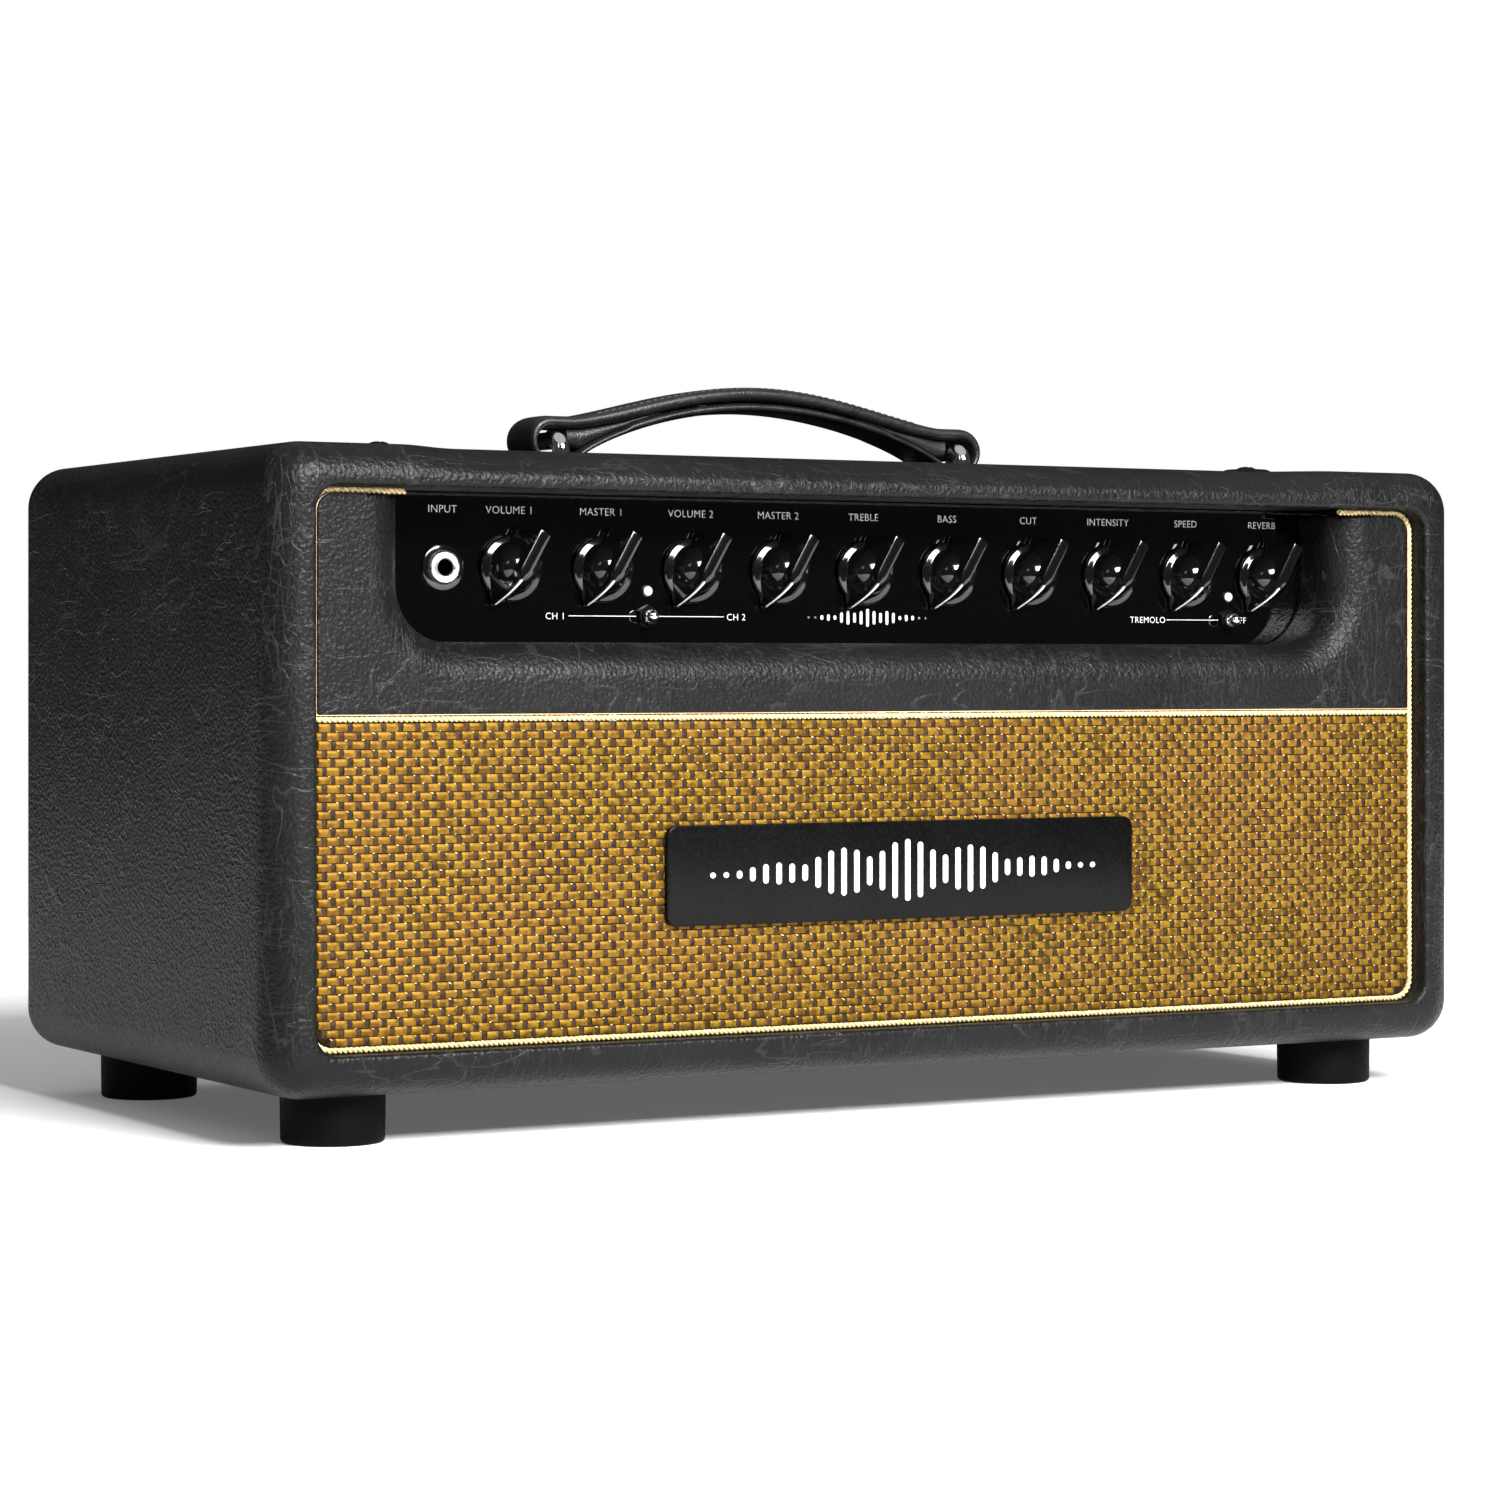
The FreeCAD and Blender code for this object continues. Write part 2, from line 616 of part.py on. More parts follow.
def make_handle_brackets():
    """Two chrome staples, each a bar on two posts with a screwed foot under each post."""
    section, half = S["post_radius"], S["post_reach"]
    bar_level = TOP + S["post_height"] - section
    elbow = section + 0.75
    plate = 1.6
    staples = []
    for side in (-1, 1):
        name = "staple_left" if side < 0 else "staple_right"
        x = side * S["handle_reach"]
        pieces = [rod(name + "_bar", section, (half - elbow) * 2, (x, elbow - half, bar_level), "+Y")]
        for way in (-1, 1):
            tag = "%s_%s" % (name, "front" if way < 0 else "back")
            pieces.append(rod(tag + "_post", section, bar_level - elbow - TOP, (x, way * half, TOP)))
            turn = FreeCAD.Rotation(FreeCAD.Vector(0, 0, 1), 90 * way)
            turn = turn.multiply(FreeCAD.Rotation(FreeCAD.Vector(1, 0, 0), 90))
            pieces.append(bend(tag + "_elbow", elbow, section,
                               (x, way * (half - elbow), bar_level - elbow), turn))
            foot = slab(tag + "_foot", (x - 12.5, x + 12.5), (way * half - 3.7, way * half + 3.7),
                        (TOP, TOP + plate))
            soft = rounded(tag + "_soft_foot", foot, [(3.6, lambda edge: runs_along(edge, 2))])
            holes = [rod("%s_hole_%d" % (tag, place_x), 1.8, plate + 2,
                         (x + place_x, way * half, TOP - 1)) for place_x in (-8.5, 8.5)]
            pieces.append(cut(tag + "_drilled_foot", soft, *holes))
        staples.append(fuse(name, *pieces))
    keep(together("handle_brackets", *staples))
    screw = turned("handle_screw", [(0, -15), (0.6, -15), (1.7, -12), (1.7, 0), (3.4, 0), (3.1, 1.1),
                                    (2.1, 1.9), (0, 2.3)])
    keep(copies("handle_screws", screw, [(x, y, TOP + plate) for x, y in HANDLE_SCREWS]))


# ---------------------------------------------------------------- the chassis and its panels

def front_drills():
    """Drills through the control panel and the chassis behind it."""
    start, length = PANEL_FACE - 1, S["panel_thickness"] + S["sheet_metal"] + 2
    drills = [rod("jack_drill", 4.75, length, (S["jack_reach"], start, S["control_level"]), "+Y")]
    for name, x in zip(KNOBS, KNOB_X):
        drills.append(rod("drill_" + name, 3.5, length, (x, start, S["control_level"]), "+Y"))
    for name, x in TOGGLES:
        drills.append(rod("toggle_drill_" + name, 3.0, length, (x, start, S["toggle_level"]), "+Y"))
        drills.append(rod("lamp_drill_" + name, 2.5, length, (x, start, S["lamp_level"]), "+Y"))
    return together("front_drills", *drills)


def rear_drills():
    """Openings through the rear plate and the chassis wall in front of it."""
    start, length = CHASSIS_BACK - S["sheet_metal"] - 1, S["sheet_metal"] + S["panel_thickness"] + 2
    level = S["rear_level"]
    drills = [slab("inlet_window", (INLET_X - 14, INLET_X + 14), (start, start + length),
                   (level - 10, level + 10)),
              rod("fuse_drill", 6.3, length, (FUSE_X, start, level), "+Y")]
    for name, x in REAR_TOGGLES:
        drills.append(rod("rear_drill_" + name, 5.95, length, (x, start, level), "+Y"))
    for number, x in enumerate(REAR_JACKS):
        drills.append(rod("rear_jack_drill_%d" % number, 4.75, length, (x, start, level), "+Y"))
    return together("rear_drills", *drills)


def make_chassis(front_holes, rear_holes):
    """A steel chassis of flat sheets, spot-welded edge to edge, with two bolting strips on top."""
    metal, seam = S["sheet_metal"], S["seam"]
    half, floor = S["chassis_half_width"], S["chassis_floor"]
    front, back = CHASSIS_FACE + metal + seam, CHASSIS_BACK - metal - seam
    sockets = [rod("socket_hole_%d" % number, S["socket_radius"], metal + 2, (x, y, floor - 1))
               for number, (x, y) in enumerate(PREAMP_VALVES + POWER_VALVES)]
    leads = [rod("lead_hole_%d" % number, 4.0, metal + 2, (x, y, floor - 1))
             for number, (x, y) in enumerate(LEADS)]
    sheets = [
        cut("front_wall", slab("front_wall_blank", (-half, half), (CHASSIS_FACE, front - seam),
                               (floor, CHASSIS_TOP)), front_holes),
        cut("rear_wall", slab("rear_wall_blank", (-half, half), (back + seam, CHASSIS_BACK),
                              (floor, CHASSIS_TOP)), rear_holes),
        cut("floor_sheet", slab("floor_blank", (-half, half), (front, back), (floor, floor + metal)),
            *sockets, *leads)]
    for name, low_x in (("left", -half), ("right", half - metal)):
        sheets.append(slab(name + "_end", (low_x, low_x + metal), (front, back),
                           (floor + metal + seam, CHASSIS_TOP)))
    reach = half - metal - seam
    strips = (("front", (front, CHASSIS_FACE + S["flange_width"]), -S["bolt_reach_y"]),
              ("rear", (CHASSIS_BACK - S["flange_width"], back), S["bolt_reach_y"]))
    for name, depth, row in strips:
        strip = slab(name + "_strip_blank", (-reach, reach), depth, (CHASSIS_TOP - metal, CHASSIS_TOP))
        inserts = [rod("%s_insert_%d" % (name, side), 5.0, 7.0,
                       (side * S["bolt_reach_x"], row, CHASSIS_TOP - metal - 7.0)) for side in (-1, 1)]
        drills = [rod("%s_insert_drill_%d" % (name, side), S["bolt_radius"] + 0.02, 30.0,
                      (side * S["bolt_reach_x"], row, CHASSIS_TOP - 20)) for side in (-1, 1)]
        sheets.append(cut(name + "_strip", fuse(name + "_strip_with_inserts", strip, *inserts), *drills))
    keep(together("chassis", *sheets))

    face = slab("faceplate_blank", (-half, half), (PANEL_FACE, CHASSIS_FACE), (floor, CHASSIS_TOP))
    keep(cut("faceplate", face, front_holes))
    plate = slab("rear_plate_blank", (-half, half), (CHASSIS_BACK, PLATE_BACK), (floor, CHASSIS_TOP))
    keep(cut("rear_plate", plate, rear_holes))


def make_chassis_bolts():
    """Four bolts down through the top board, each in a domed cup washer."""
    washer = turned("cup_washer", [(2.6, 0), (11.5, 0), (11.3, 1.0), (9.5, 2.0), (6.6, 2.2),
                                   (5.4, 1.2), (2.6, 1.2)])
    keep(copies("cup_washers", washer, [(x, y, TOP) for x, y in BOLTS]))
    reach = S["deck_wall"] + 10
    bolt = turned("chassis_bolt", [(0, -reach), (S["bolt_radius"], -reach), (S["bolt_radius"], 1.2),
                                   (5.2, 1.2), (4.6, 2.6), (2.6, 3.4), (0, 3.6)])
    keep(copies("chassis_bolts", bolt, [(x, y, TOP) for x, y in BOLTS]))


# ---------------------------------------------------------------- the controls

def make_knob(name, x):
    """A pointer knob on its shaft, pointing to seven o'clock, the bottom of its travel.

    The knob is drawn with its axis along its own Z and its pointer along its own Y.
    """
    height, skirt = S["knob_height"], S["skirt_radius"]
    base = turned("skirt_" + name, [(7.5, 0), (skirt, 0), (skirt, 2.6), (skirt - 1.6, 4.2),
                                    (9.2, 4.6), (8.9, 8.0), (6.6, 11.2), (3.0, 12.4), (0, 12.6),
                                    (0, 4.4), (7.5, 4.4)])
    fin = doc.addObject("PartDesign::Body", "fin_" + name)
    plan = sketch_on(fin, "XY_Plane", "fin_plan_" + name)
    draw_outline(plan, [(-1.0, skirt + 3.7), (-3.0, 6), (-2.8, -skirt - 1.2), (-1.6, -skirt - 2.6),
                        (1.6, -skirt - 2.6), (2.8, -skirt - 1.2), (3.0, 6), (1.0, skirt + 3.7)])
    pad = fin.newObject("PartDesign::Pad", "fin_pad_" + name)
    pad.Profile = plan
    bind(pad, "Length", height)
    side = sketch_on(fin, "YZ_Plane", "fin_side_" + name)
    draw_outline(side, [(skirt + 6, 2.8), (skirt + 3.4, 4.2), (skirt - 1.5, 5.8), (7.4, 9.4),
                        (3.6, 13.2), (0.5, height), (0.5, height + 4), (skirt + 6, height + 4)])
    slope = fin.newObject("PartDesign::Pocket", "fin_slope_" + name)
    slope.Profile = side
    slope.Type = "ThroughAll"
    slope.Midplane = True
    under = sketch_on(fin, "YZ_Plane", "fin_under_" + name)
    draw_outline(under, [(-skirt - 6, -1), (skirt + 6, -1), (skirt + 6, 1.2), (skirt, 2.0),
                         (6, 4.6), (-6, 4.6), (-skirt, 2.0), (-skirt - 6, 2.0)])
    clear = fin.newObject("PartDesign::Pocket", "fin_clear_" + name)
    clear.Profile = under
    clear.Type = "ThroughAll"
    clear.Midplane = True
    shell = fuse("knob_shell_" + name, base, fin)
    length = 22.2
    bore = rod("knob_bore_" + name, S["shaft_radius"], 13.2, (0, 0, 0))
    shaft = rod("shaft_" + name, S["shaft_radius"], length, (0, 0, 13.2 - length))
    knob = together("knob_" + name, cut("knob_body_" + name, shell, bore), shaft)
    seven_o_clock = FreeCAD.Rotation(FreeCAD.Vector(0, 0, 1), 150)
    place(knob, (x, PANEL_FACE - 0.6, S["control_level"]), TURNS["-Y"].multiply(seven_o_clock))
    keep(knob)


def make_pots():
    """The potentiometers: a can behind the chassis wall, its bushing and the nut on it."""
    wall = PANEL_FACE + S["panel_thickness"] + S["sheet_metal"]
    reach = S["panel_thickness"] + S["sheet_metal"] + 3.8
    can = turned("pot_can", [(S["shaft_radius"] + 0.05, reach), (3.5, reach), (3.5, 0), (8.5, 0),
                             (8.5, -10.5), (0, -10.5), (0, -6.2), (S["shaft_radius"] + 0.05, -6.2)])
    nut = cut("pot_nut", hexagon("pot_nut_blank", 10.0, 2.2, (0, 0, 0)),
              rod("pot_nut_bore", 3.5, 4.0, (0, 0, -1)))
    cans = copies("pot_cans", can, [(x, wall, S["control_level"]) for x in KNOB_X], TURNS["-Y"])
    nuts = copies("pot_nuts", nut, [(x, PANEL_FACE, S["control_level"]) for x in KNOB_X],
                  TURNS["-Y"])
    keep(together("pot_bodies", cans, nuts))


def make_lamps():
    """Two round indicator lamps in the panel."""
    reach = S["panel_thickness"] + S["sheet_metal"]
    lamp = turned("lamp", [(0, -4), (2.9, -4), (2.9, 0), (2.45, 0), (2.45, reach + 0.9),
                           (1.9, reach + 0.9), (1.6, reach + 1.6), (0.9, reach + 2.1),
                           (0, reach + 2.2)])
    wall = PANEL_FACE + reach
    keep(copies("indicator_lamps", lamp, [(x, wall, S["lamp_level"]) for _, x in TOGGLES],
                TURNS["-Y"]))


def toggle_lever(name, ball_radius, neck, tip, length):
    """A bat lever along its own Z, from the ball that it pivots on."""
    parts = [ball(name + "_pivot", ball_radius), cone(name + "_bat", neck, tip, length - tip),
             ball(name + "_tip", tip, (0, 0, length - tip))]
    return fuse(name, *parts)


def make_front_toggles():
    """Two small bat switches that lean left, towards the first of their two settings."""
    wall = PANEL_FACE + S["panel_thickness"] + S["sheet_metal"]
    reach = S["panel_thickness"] + S["sheet_metal"] + 3.2
    bushing = turned("small_bushing", [(2.4, reach), (3.0, reach), (3.0, 0), (0, 0), (0, reach - 6),
                                       (2.4, reach - 6)])
    body = slab("small_switch_box", (-4.0, 4.0), (-5.5, 5.5), (-9.0, 0.0))
    switch = fuse("small_switch", bushing, body)
    keep(copies("toggle_bodies", switch, [(x, wall, S["toggle_level"]) for _, x in TOGGLES],
                TURNS["-Y"]))
    pivot = PANEL_FACE - 0.8
    for name, x in TOGGLES:
        lever = toggle_lever(name + "_toggle", 1.9, 1.0, 2.5, 9.5)
        lean = FreeCAD.Rotation(FreeCAD.Vector(0, 0, 1), -value_of(S["toggle_lean"]))
        place(lever, (x, pivot, S["toggle_level"]), lean.multiply(TURNS["-Y"]))
        keep(lever)


def make_input_jack():
    """The input socket: a moulded body behind the panel, its flange and a chromed nut."""
    bore = S["jack_bore"]
    reach = S["panel_thickness"] + S["sheet_metal"]
    behind = turned("jack_body", [(bore, reach + 3.6), (4.7, reach + 3.6), (4.7, 0), (8.5, 0),
                                  (8.5, -20), (bore, -20)])
    flange = cut("jack_flange", rod("jack_flange_disc", 8.85, 1.0, (0, 0, reach)),
                 rod("jack_flange_hole", 4.0, 3.0, (0, 0, reach - 1)))
    socket = fuse("input_jack", behind, flange)
    place(socket, (S["jack_reach"], PANEL_FACE + reach, S["control_level"]), TURNS["-Y"])
    keep(socket)
    nut = cut("input_jack_nut", hexagon("jack_nut_blank", 13.4, 2.2, (0, 0, 0)),
              rod("jack_nut_bore", 4.7, 4.0, (0, 0, -1)))
    place(nut, (S["jack_reach"], PANEL_FACE - 1.0, S["control_level"]), TURNS["-Y"])
    keep(nut)


# ---------------------------------------------------------------- the back

def make_rear_controls():
    """Mains inlet, fuse, two switches and six sockets along the rear of the chassis."""
    outside = PLATE_BACK
    level = S["rear_level"]
    inlet = slab("inlet_body", (INLET_X - 13.9, INLET_X + 13.9), (outside - 22, outside),
                 (level - 9.9, level + 9.9))
    flange = slab("inlet_flange", (INLET_X - 25, INLET_X + 25), (outside, outside + 2.5),
                  (level - 11.5, level + 11.5))
    cavity = slab("inlet_cavity", (INLET_X - 12.2, INLET_X + 12.2), (outside - 18, outside + 4),
                  (level - 8.2, level + 8.2))
    shell = cut("inlet_shell", fuse("inlet_blank", inlet, flange), cavity)
    blades = [slab("inlet_blade_%d" % x, (INLET_X + x - 1, INLET_X + x + 1), (outside - 19, outside - 4),
                   (level + z - 2, level + z + 2)) for x, z in ((-7, -1), (0, 2.5), (7, -1))]
    keep(fuse("mains_inlet", shell, *blades))

    holder = turned("fuse_holder", [(5.05, 4.0), (8.0, 4.0), (8.0, 0), (6.2, 0), (6.2, -34),
                                    (0, -34), (0, -32), (5.05, -32)], (FUSE_X, outside, level), "+Y")
    keep(holder)
    keep(turned("fuse_cap", [(0, -8), (5.0, -8), (5.0, 4.3), (6.6, 4.3), (6.6, 11.5), (5.6, 12.5),
                             (0, 12.5)], (FUSE_X, outside, level), "+Y"))

    bushing = turned("large_bushing", [(4.6, 9.5), (5.9, 9.5), (5.9, -2.8), (0, -2.8), (0, -1.5),
                                       (4.6, -1.5)])
    body = slab("large_switch_box", (-8.0, 8.0), (-12.0, 12.0), (-22.0, -2.8))
    nut = cut("large_nut", hexagon("large_nut_blank", 15.0, 2.5, (0, 0, 0)),
              rod("large_nut_bore", 5.9, 5.0, (0, 0, -1)))
    switch = fuse("large_switch", bushing, body, nut)
    keep(copies("rear_toggle_bodies", switch, [(x, outside, level) for _, x in REAR_TOGGLES],
                TURNS["+Y"]))
    for name, x in REAR_TOGGLES:
        lever = toggle_lever(name + "_toggle", 4.0, 1.9, 3.4, 20.0)
        lean = FreeCAD.Rotation(FreeCAD.Vector(1, 0, 0), -value_of(S["toggle_lean"]))
        place(lever, (x, outside + 4.0, level), lean.multiply(TURNS["+Y"]))
        keep(lever)

    bore = S["jack_bore"]
    jack = turned("rear_jack", [(bore, 4.2), (4.7, 4.2), (4.7, -2.7), (8.5, -2.7), (8.5, -22),
                                (bore, -22)])
    jack_nut = cut("rear_nut", hexagon("rear_nut_blank", 12.7, 2.4, (0, 0, 0)),
                   rod("rear_nut_bore", 4.6, 5.0, (0, 0, -1)))
    keep(copies("rear_jacks", fuse("rear_socket", jack, jack_nut),
                [(x, outside, level) for x in REAR_JACKS], TURNS["+Y"]))


def make_back(front_cleats):
    """The lower back board, the slotted vent above it, their screws and all four side cleats."""
    back = BACK - S["rear_recess"]
    front = back - S["back_panel_thickness"]
    half = OPENING_X - 1.0
    screw_x = [-245, -82, 82, 245]
    low, high = OPENING_LOW + 0.6, S["back_panel_top"]
    board_drills = [rod("board_drill_%d" % x, 2.0, 20.0, (x, front - 5, low + 10), "+Y")
                    for x in screw_x]
    board = slab("back_board_blank", (-half, half), (front, back), (low, high))
    keep(cut("back_panel", board, *board_drills))

    vent_high = S["chassis_floor"] - 1.0
    face = slab("vent_face", (-half, half), (back - 1.2, back), (high + 1, vent_high))
    shelf = slab("vent_shelf", (-238, 238), (PLATE_BACK, back - 1.2),
                 (vent_high - 1.2, vent_high))
    vent = fuse("vent_blank", face, shelf)
    slots = []
    for number in range(41):
        x = -240 + 12.0 * number
        if x in (-240, 240):
            continue
        slots.append(slab("slot_%d" % number, (x - 2.5, x + 2.5), (back - 3, back + 1),
                          (high + 13, vent_high - 13)))
    vent_drills = [rod("vent_drill_%d" % x, 2.0, 20.0, (x, front - 5, high + 7), "+Y")
                   for x in screw_x]
    keep(cut("vent_grille", vent, *slots, *vent_drills))

    rails = [slab("rear_rail_%d" % number, span, (front - 16, front), (OPENING_LOW, vent_high))
             for number, span in enumerate([(-OPENING_X, 20 - OPENING_X), (OPENING_X - 20, OPENING_X)])]
    keep(together("side_cleats", *front_cleats, *rails))

    screw = turned("back_screw", [(0, -8.6), (1.9, -8.6), (1.9, 0), (4.4, 0), (4.0, 1.4), (2.6, 2.4),
                                  (0, 2.8)])
    keep(copies("back_panel_screws", screw, [(x, back, level) for level in (low + 10, high + 7)
                                             for x in screw_x], TURNS["+Y"]))


# ---------------------------------------------------------------- the works inside

LEADS = [(150, 20), (190, 20), (-130, 60), (215, -60), (225, -60)]


def transformer(name, x, y, width, height, stack, bell):
    """A laminated core with a bell cover on each side, hung under the chassis."""
    floor = S["chassis_floor"]
    core = slab(name + "_core", (x - width / 2, x + width / 2), (y - stack / 2, y + stack / 2),
                (floor - height, floor))
    cover = slab(name + "_cover", (x - width * 0.36, x + width * 0.36),
                 (y - stack / 2 - bell, y + stack / 2 + bell),
                 (floor - height * 0.87, floor - height * 0.13))
    soft = rounded(name + "_bells", cover, [(bell * 0.6, lambda edge: runs_along(edge, 0)
                                             or runs_along(edge, 2))])
    keep(fuse(name, core, soft))


def make_power_works():
    transformer("power_transformer", 170, -5, 90.0, 78.0, 38.0, 18.0)
    transformer("output_transformer", -120, 45, 68.0, 58.0, 28.0, 14.0)
    transformer("choke", -200, 45, 48.0, 40.0, 20.0, 10.0)


def make_valves():
    """Nine-pin sockets through the chassis floor, with the valves hanging from them."""
    floor = S["chassis_floor"]
    socket = turned("valve_socket", [(0, -8), (9.6, -8), (9.6, -1.2), (13.5, -1.2), (13.5, 0),
                                     (9.8, 0), (9.8, 9), (0, 9)])
    places = [(x, y, floor) for x, y in PREAMP_VALVES + POWER_VALVES]
    keep(copies("valve_sockets", socket, places))
    radius = S["valve_radius"]

    def valve(name, length):
        return turned(name, [(0, 0), (radius - 1, 0), (radius, -2), (radius, 8 - length),
                             (radius - 3, 3 - length), (2.5, 1.5 - length), (1.4, -length),
                             (0, -length - 2)])

    keep(copies("preamp_valves", valve("preamp_valve", 48.0),
                [(x, y, floor - 8) for x, y in PREAMP_VALVES]))
    keep(copies("power_valves", valve("power_valve", 71.0),
                [(x, y, floor - 8) for x, y in POWER_VALVES]))


def make_electronics():
    """The circuit board on its posts in the chassis, its large capacitors, and the leads."""
    floor = S["chassis_floor"] + S["sheet_metal"]
    level = floor + 9.5
    board = slab("board_blank", (-215, 130), (-70, 72), (level, level + 1.6))
    posts = [rod("board_post_%d_%d" % (x, y), 3.0, 9.5, (x, y, floor))
             for x in (-208, -92, 8, 122) for y in (-60, 66)]
    keep(fuse("circuit_board", board, *posts))
    cans = [rod("capacitor_%d" % number, 11.0, 42.0, (40 + 25 * number, -20, level + 12.6), "+Y")
            for number in range(4)]
    keep(together("filter_capacitors", *cans))
    chassis_leads = [rod("lead_%d" % number, 3.0, 10.6, (x, y, S["chassis_floor"] + 0.2))
                     for number, (x, y) in enumerate(LEADS[:3])]
    reverb_leads = [rod("reverb_lead_%d" % number, 2.4, 140.0, (x, y, OPENING_LOW + 33.4))
                    for number, (x, y) in enumerate(LEADS[3:])]
    keep(together("wiring_looms", *chassis_leads, *reverb_leads))


def make_reverb():
    """A spring tank on the cabinet floor: a steel case over a sprung tray with three springs."""
    low = OPENING_LOW
    outer = slab("tank_outer", (-235, 235), (-70, 45), (low, low + 33))
    inner = slab("tank_inner", (-234, 234), (-69, 44), (low - 1, low + 32))
    keep(cut("reverb_tank", outer, inner))
    tray_low = low + 5
    tray = slab("tray_outer", (-205, 205), (-55, 30), (tray_low, tray_low + 20))
    tray_hollow = slab("tray_inner", (-203.8, 203.8), (-53.8, 28.8), (tray_low + 1.2, tray_low + 21))
    coils = [rod("reverb_coil_%d" % number, 2.2, 407.6, (-203.8, y, tray_low + 11), "+X")
             for number, y in enumerate((-34, -12.5, 9))]
    hangers = [rod("tank_hanger_%d_%d" % (x, y), 1.5, 30.0, (x, y, low + 2))
               for x in (-212, 212) for y in (-48, 23)]
    ears = [slab("tray_ear_%d_%d" % (side, y), (side * 209 - 5, side * 209 + 5), (y - 3, y + 3),
                 (tray_low, tray_low + 1.2)) for side in (-1, 1) for y in (-48, 23)]
    keep(fuse("reverb_springs", cut("tray", tray, tray_hollow), *coils, *hangers, *ears))


# ---------------------------------------------------------------- build, check and write

def check_everything():
    """Stop if anything in the document failed or a sub-part's shape is bad."""
    for item in doc.Objects:
        bad = [state for state in item.State if state in ("Invalid", "Error")]
        if bad:
            raise RuntimeError("%s is %s" % (item.Name, bad))
    for item in nodes:
        if item.Shape.isNull() or not item.Shape.isValid() or not item.Shape.Solids:
            raise RuntimeError("%s has no valid solid" % item.Label)


def main():
    make_cabinet()
    make_feet()
    make_upper_baffle()
    front_cleats = make_grille()
    make_piping()
    make_handle()
    make_handle_brackets()
    make_chassis(front_drills(), rear_drills())
    make_chassis_bolts()
    for name, x in zip(KNOBS, KNOB_X):
        make_knob(name, x)
    make_pots()
    make_lamps()
    make_front_toggles()
    make_input_jack()
    make_rear_controls()
    make_back(front_cleats)
    make_power_works()
    make_valves()
    make_electronics()
    make_reverb()
    doc.recompute()
    check_everything()
    os.makedirs("parts", exist_ok=True)
    for item in nodes:
        item.Shape.exportStep("parts/%s.step" % item.Label)
        box = item.Shape.BoundBox
        print("%-24s %2d solids  x %7.1f %7.1f  y %7.1f %7.1f  z %6.1f %6.1f" % (
            item.Label, len(item.Shape.Solids), box.XMin, box.XMax, box.YMin, box.YMax,
            box.ZMin, box.ZMax))
    print(len(nodes), "nodes")


main()
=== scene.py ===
import json
import math
import random

import bpy
import bmesh
from mathutils import Matrix, Vector


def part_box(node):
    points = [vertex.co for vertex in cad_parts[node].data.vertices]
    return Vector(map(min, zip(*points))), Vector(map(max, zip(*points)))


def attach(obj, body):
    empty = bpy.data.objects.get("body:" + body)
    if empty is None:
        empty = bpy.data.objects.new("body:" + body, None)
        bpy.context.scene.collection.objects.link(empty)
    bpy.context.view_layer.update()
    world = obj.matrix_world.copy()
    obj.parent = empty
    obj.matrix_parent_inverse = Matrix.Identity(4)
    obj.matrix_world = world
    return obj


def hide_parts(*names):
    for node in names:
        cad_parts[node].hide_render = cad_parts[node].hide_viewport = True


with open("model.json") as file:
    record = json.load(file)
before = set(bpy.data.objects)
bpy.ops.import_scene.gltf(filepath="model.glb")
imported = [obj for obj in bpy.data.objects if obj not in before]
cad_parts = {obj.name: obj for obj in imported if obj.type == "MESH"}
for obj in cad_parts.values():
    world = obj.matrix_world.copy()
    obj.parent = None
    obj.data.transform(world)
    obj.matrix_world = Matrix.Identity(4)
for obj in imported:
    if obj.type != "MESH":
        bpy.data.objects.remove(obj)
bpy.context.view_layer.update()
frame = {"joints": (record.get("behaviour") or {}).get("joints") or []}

MM = 0.001


# ---------------------------------------------------------------- sizes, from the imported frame

def span(node):
    """A node's lowest and highest corner."""
    low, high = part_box(node)
    return Vector(low), Vector(high)


def centre_of(node):
    low, high = span(node)
    return (low + high) / 2


LOW, HIGH = span("cabinet_covering")
FRONT, BACK = LOW.y, HIGH.y
HALF_WIDTH = HIGH.x
BASE, TOP = LOW.z, HIGH.z
BOARD_INSIDE, BOARD_OUTSIDE = (corner[0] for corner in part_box("right_board"))
COVERING = 0.6 * MM
SIDE_WALL = BOARD_OUTSIDE - BOARD_INSIDE + 2 * COVERING
DECK_WALL = 16.6 * MM
OPENING_X = HALF_WIDTH - SIDE_WALL
OPENING_LOW = BASE + DECK_WALL
OPENING_HIGH = TOP - DECK_WALL
PANEL_FACE = span("faceplate")[0].y
BAFFLE_LOW, BAFFLE_HIGH = span("upper_baffle_covering")
CLOTH_LOW, CLOTH_HIGH = span("grille_cloth")
PLATE_LOW, PLATE_HIGH = span("name_plate")

JOINT_AT = {joint["name"]: Vector(joint["pos_m"]) for joint in frame["joints"] if "pos_m" in joint}
KNOBS = ["volume_1", "master_1", "volume_2", "master_2", "treble", "bass", "cut",
         "intensity", "speed", "reverb"]


# ---------------------------------------------------------------- small sums

def mix(a, b, share):
    return a + (b - a) * share


def ease(value):
    """A smooth step from 0 to 1."""
    value = min(max(value, 0.0), 1.0)
    return value * value * (3 - 2 * value)


def signed_power(value, power):
    """A power that keeps the sign; below 1 it makes a circle's cosine and sine boxier."""
    return math.copysign(abs(value) ** power, value)


def bend(x, y, across, up, degrees):
    """Points of an ellipse about a centre, at angles in degrees."""
    return [(x + across * math.cos(math.radians(angle)), y + up * math.sin(math.radians(angle)))
            for angle in degrees]


def arc(x, y, radius, first, sweep, steps):
    """Points of a round arc about a centre, from an angle in degrees and through a sweep."""
    return bend(x, y, radius, radius, [first + sweep * i / steps for i in range(steps + 1)])


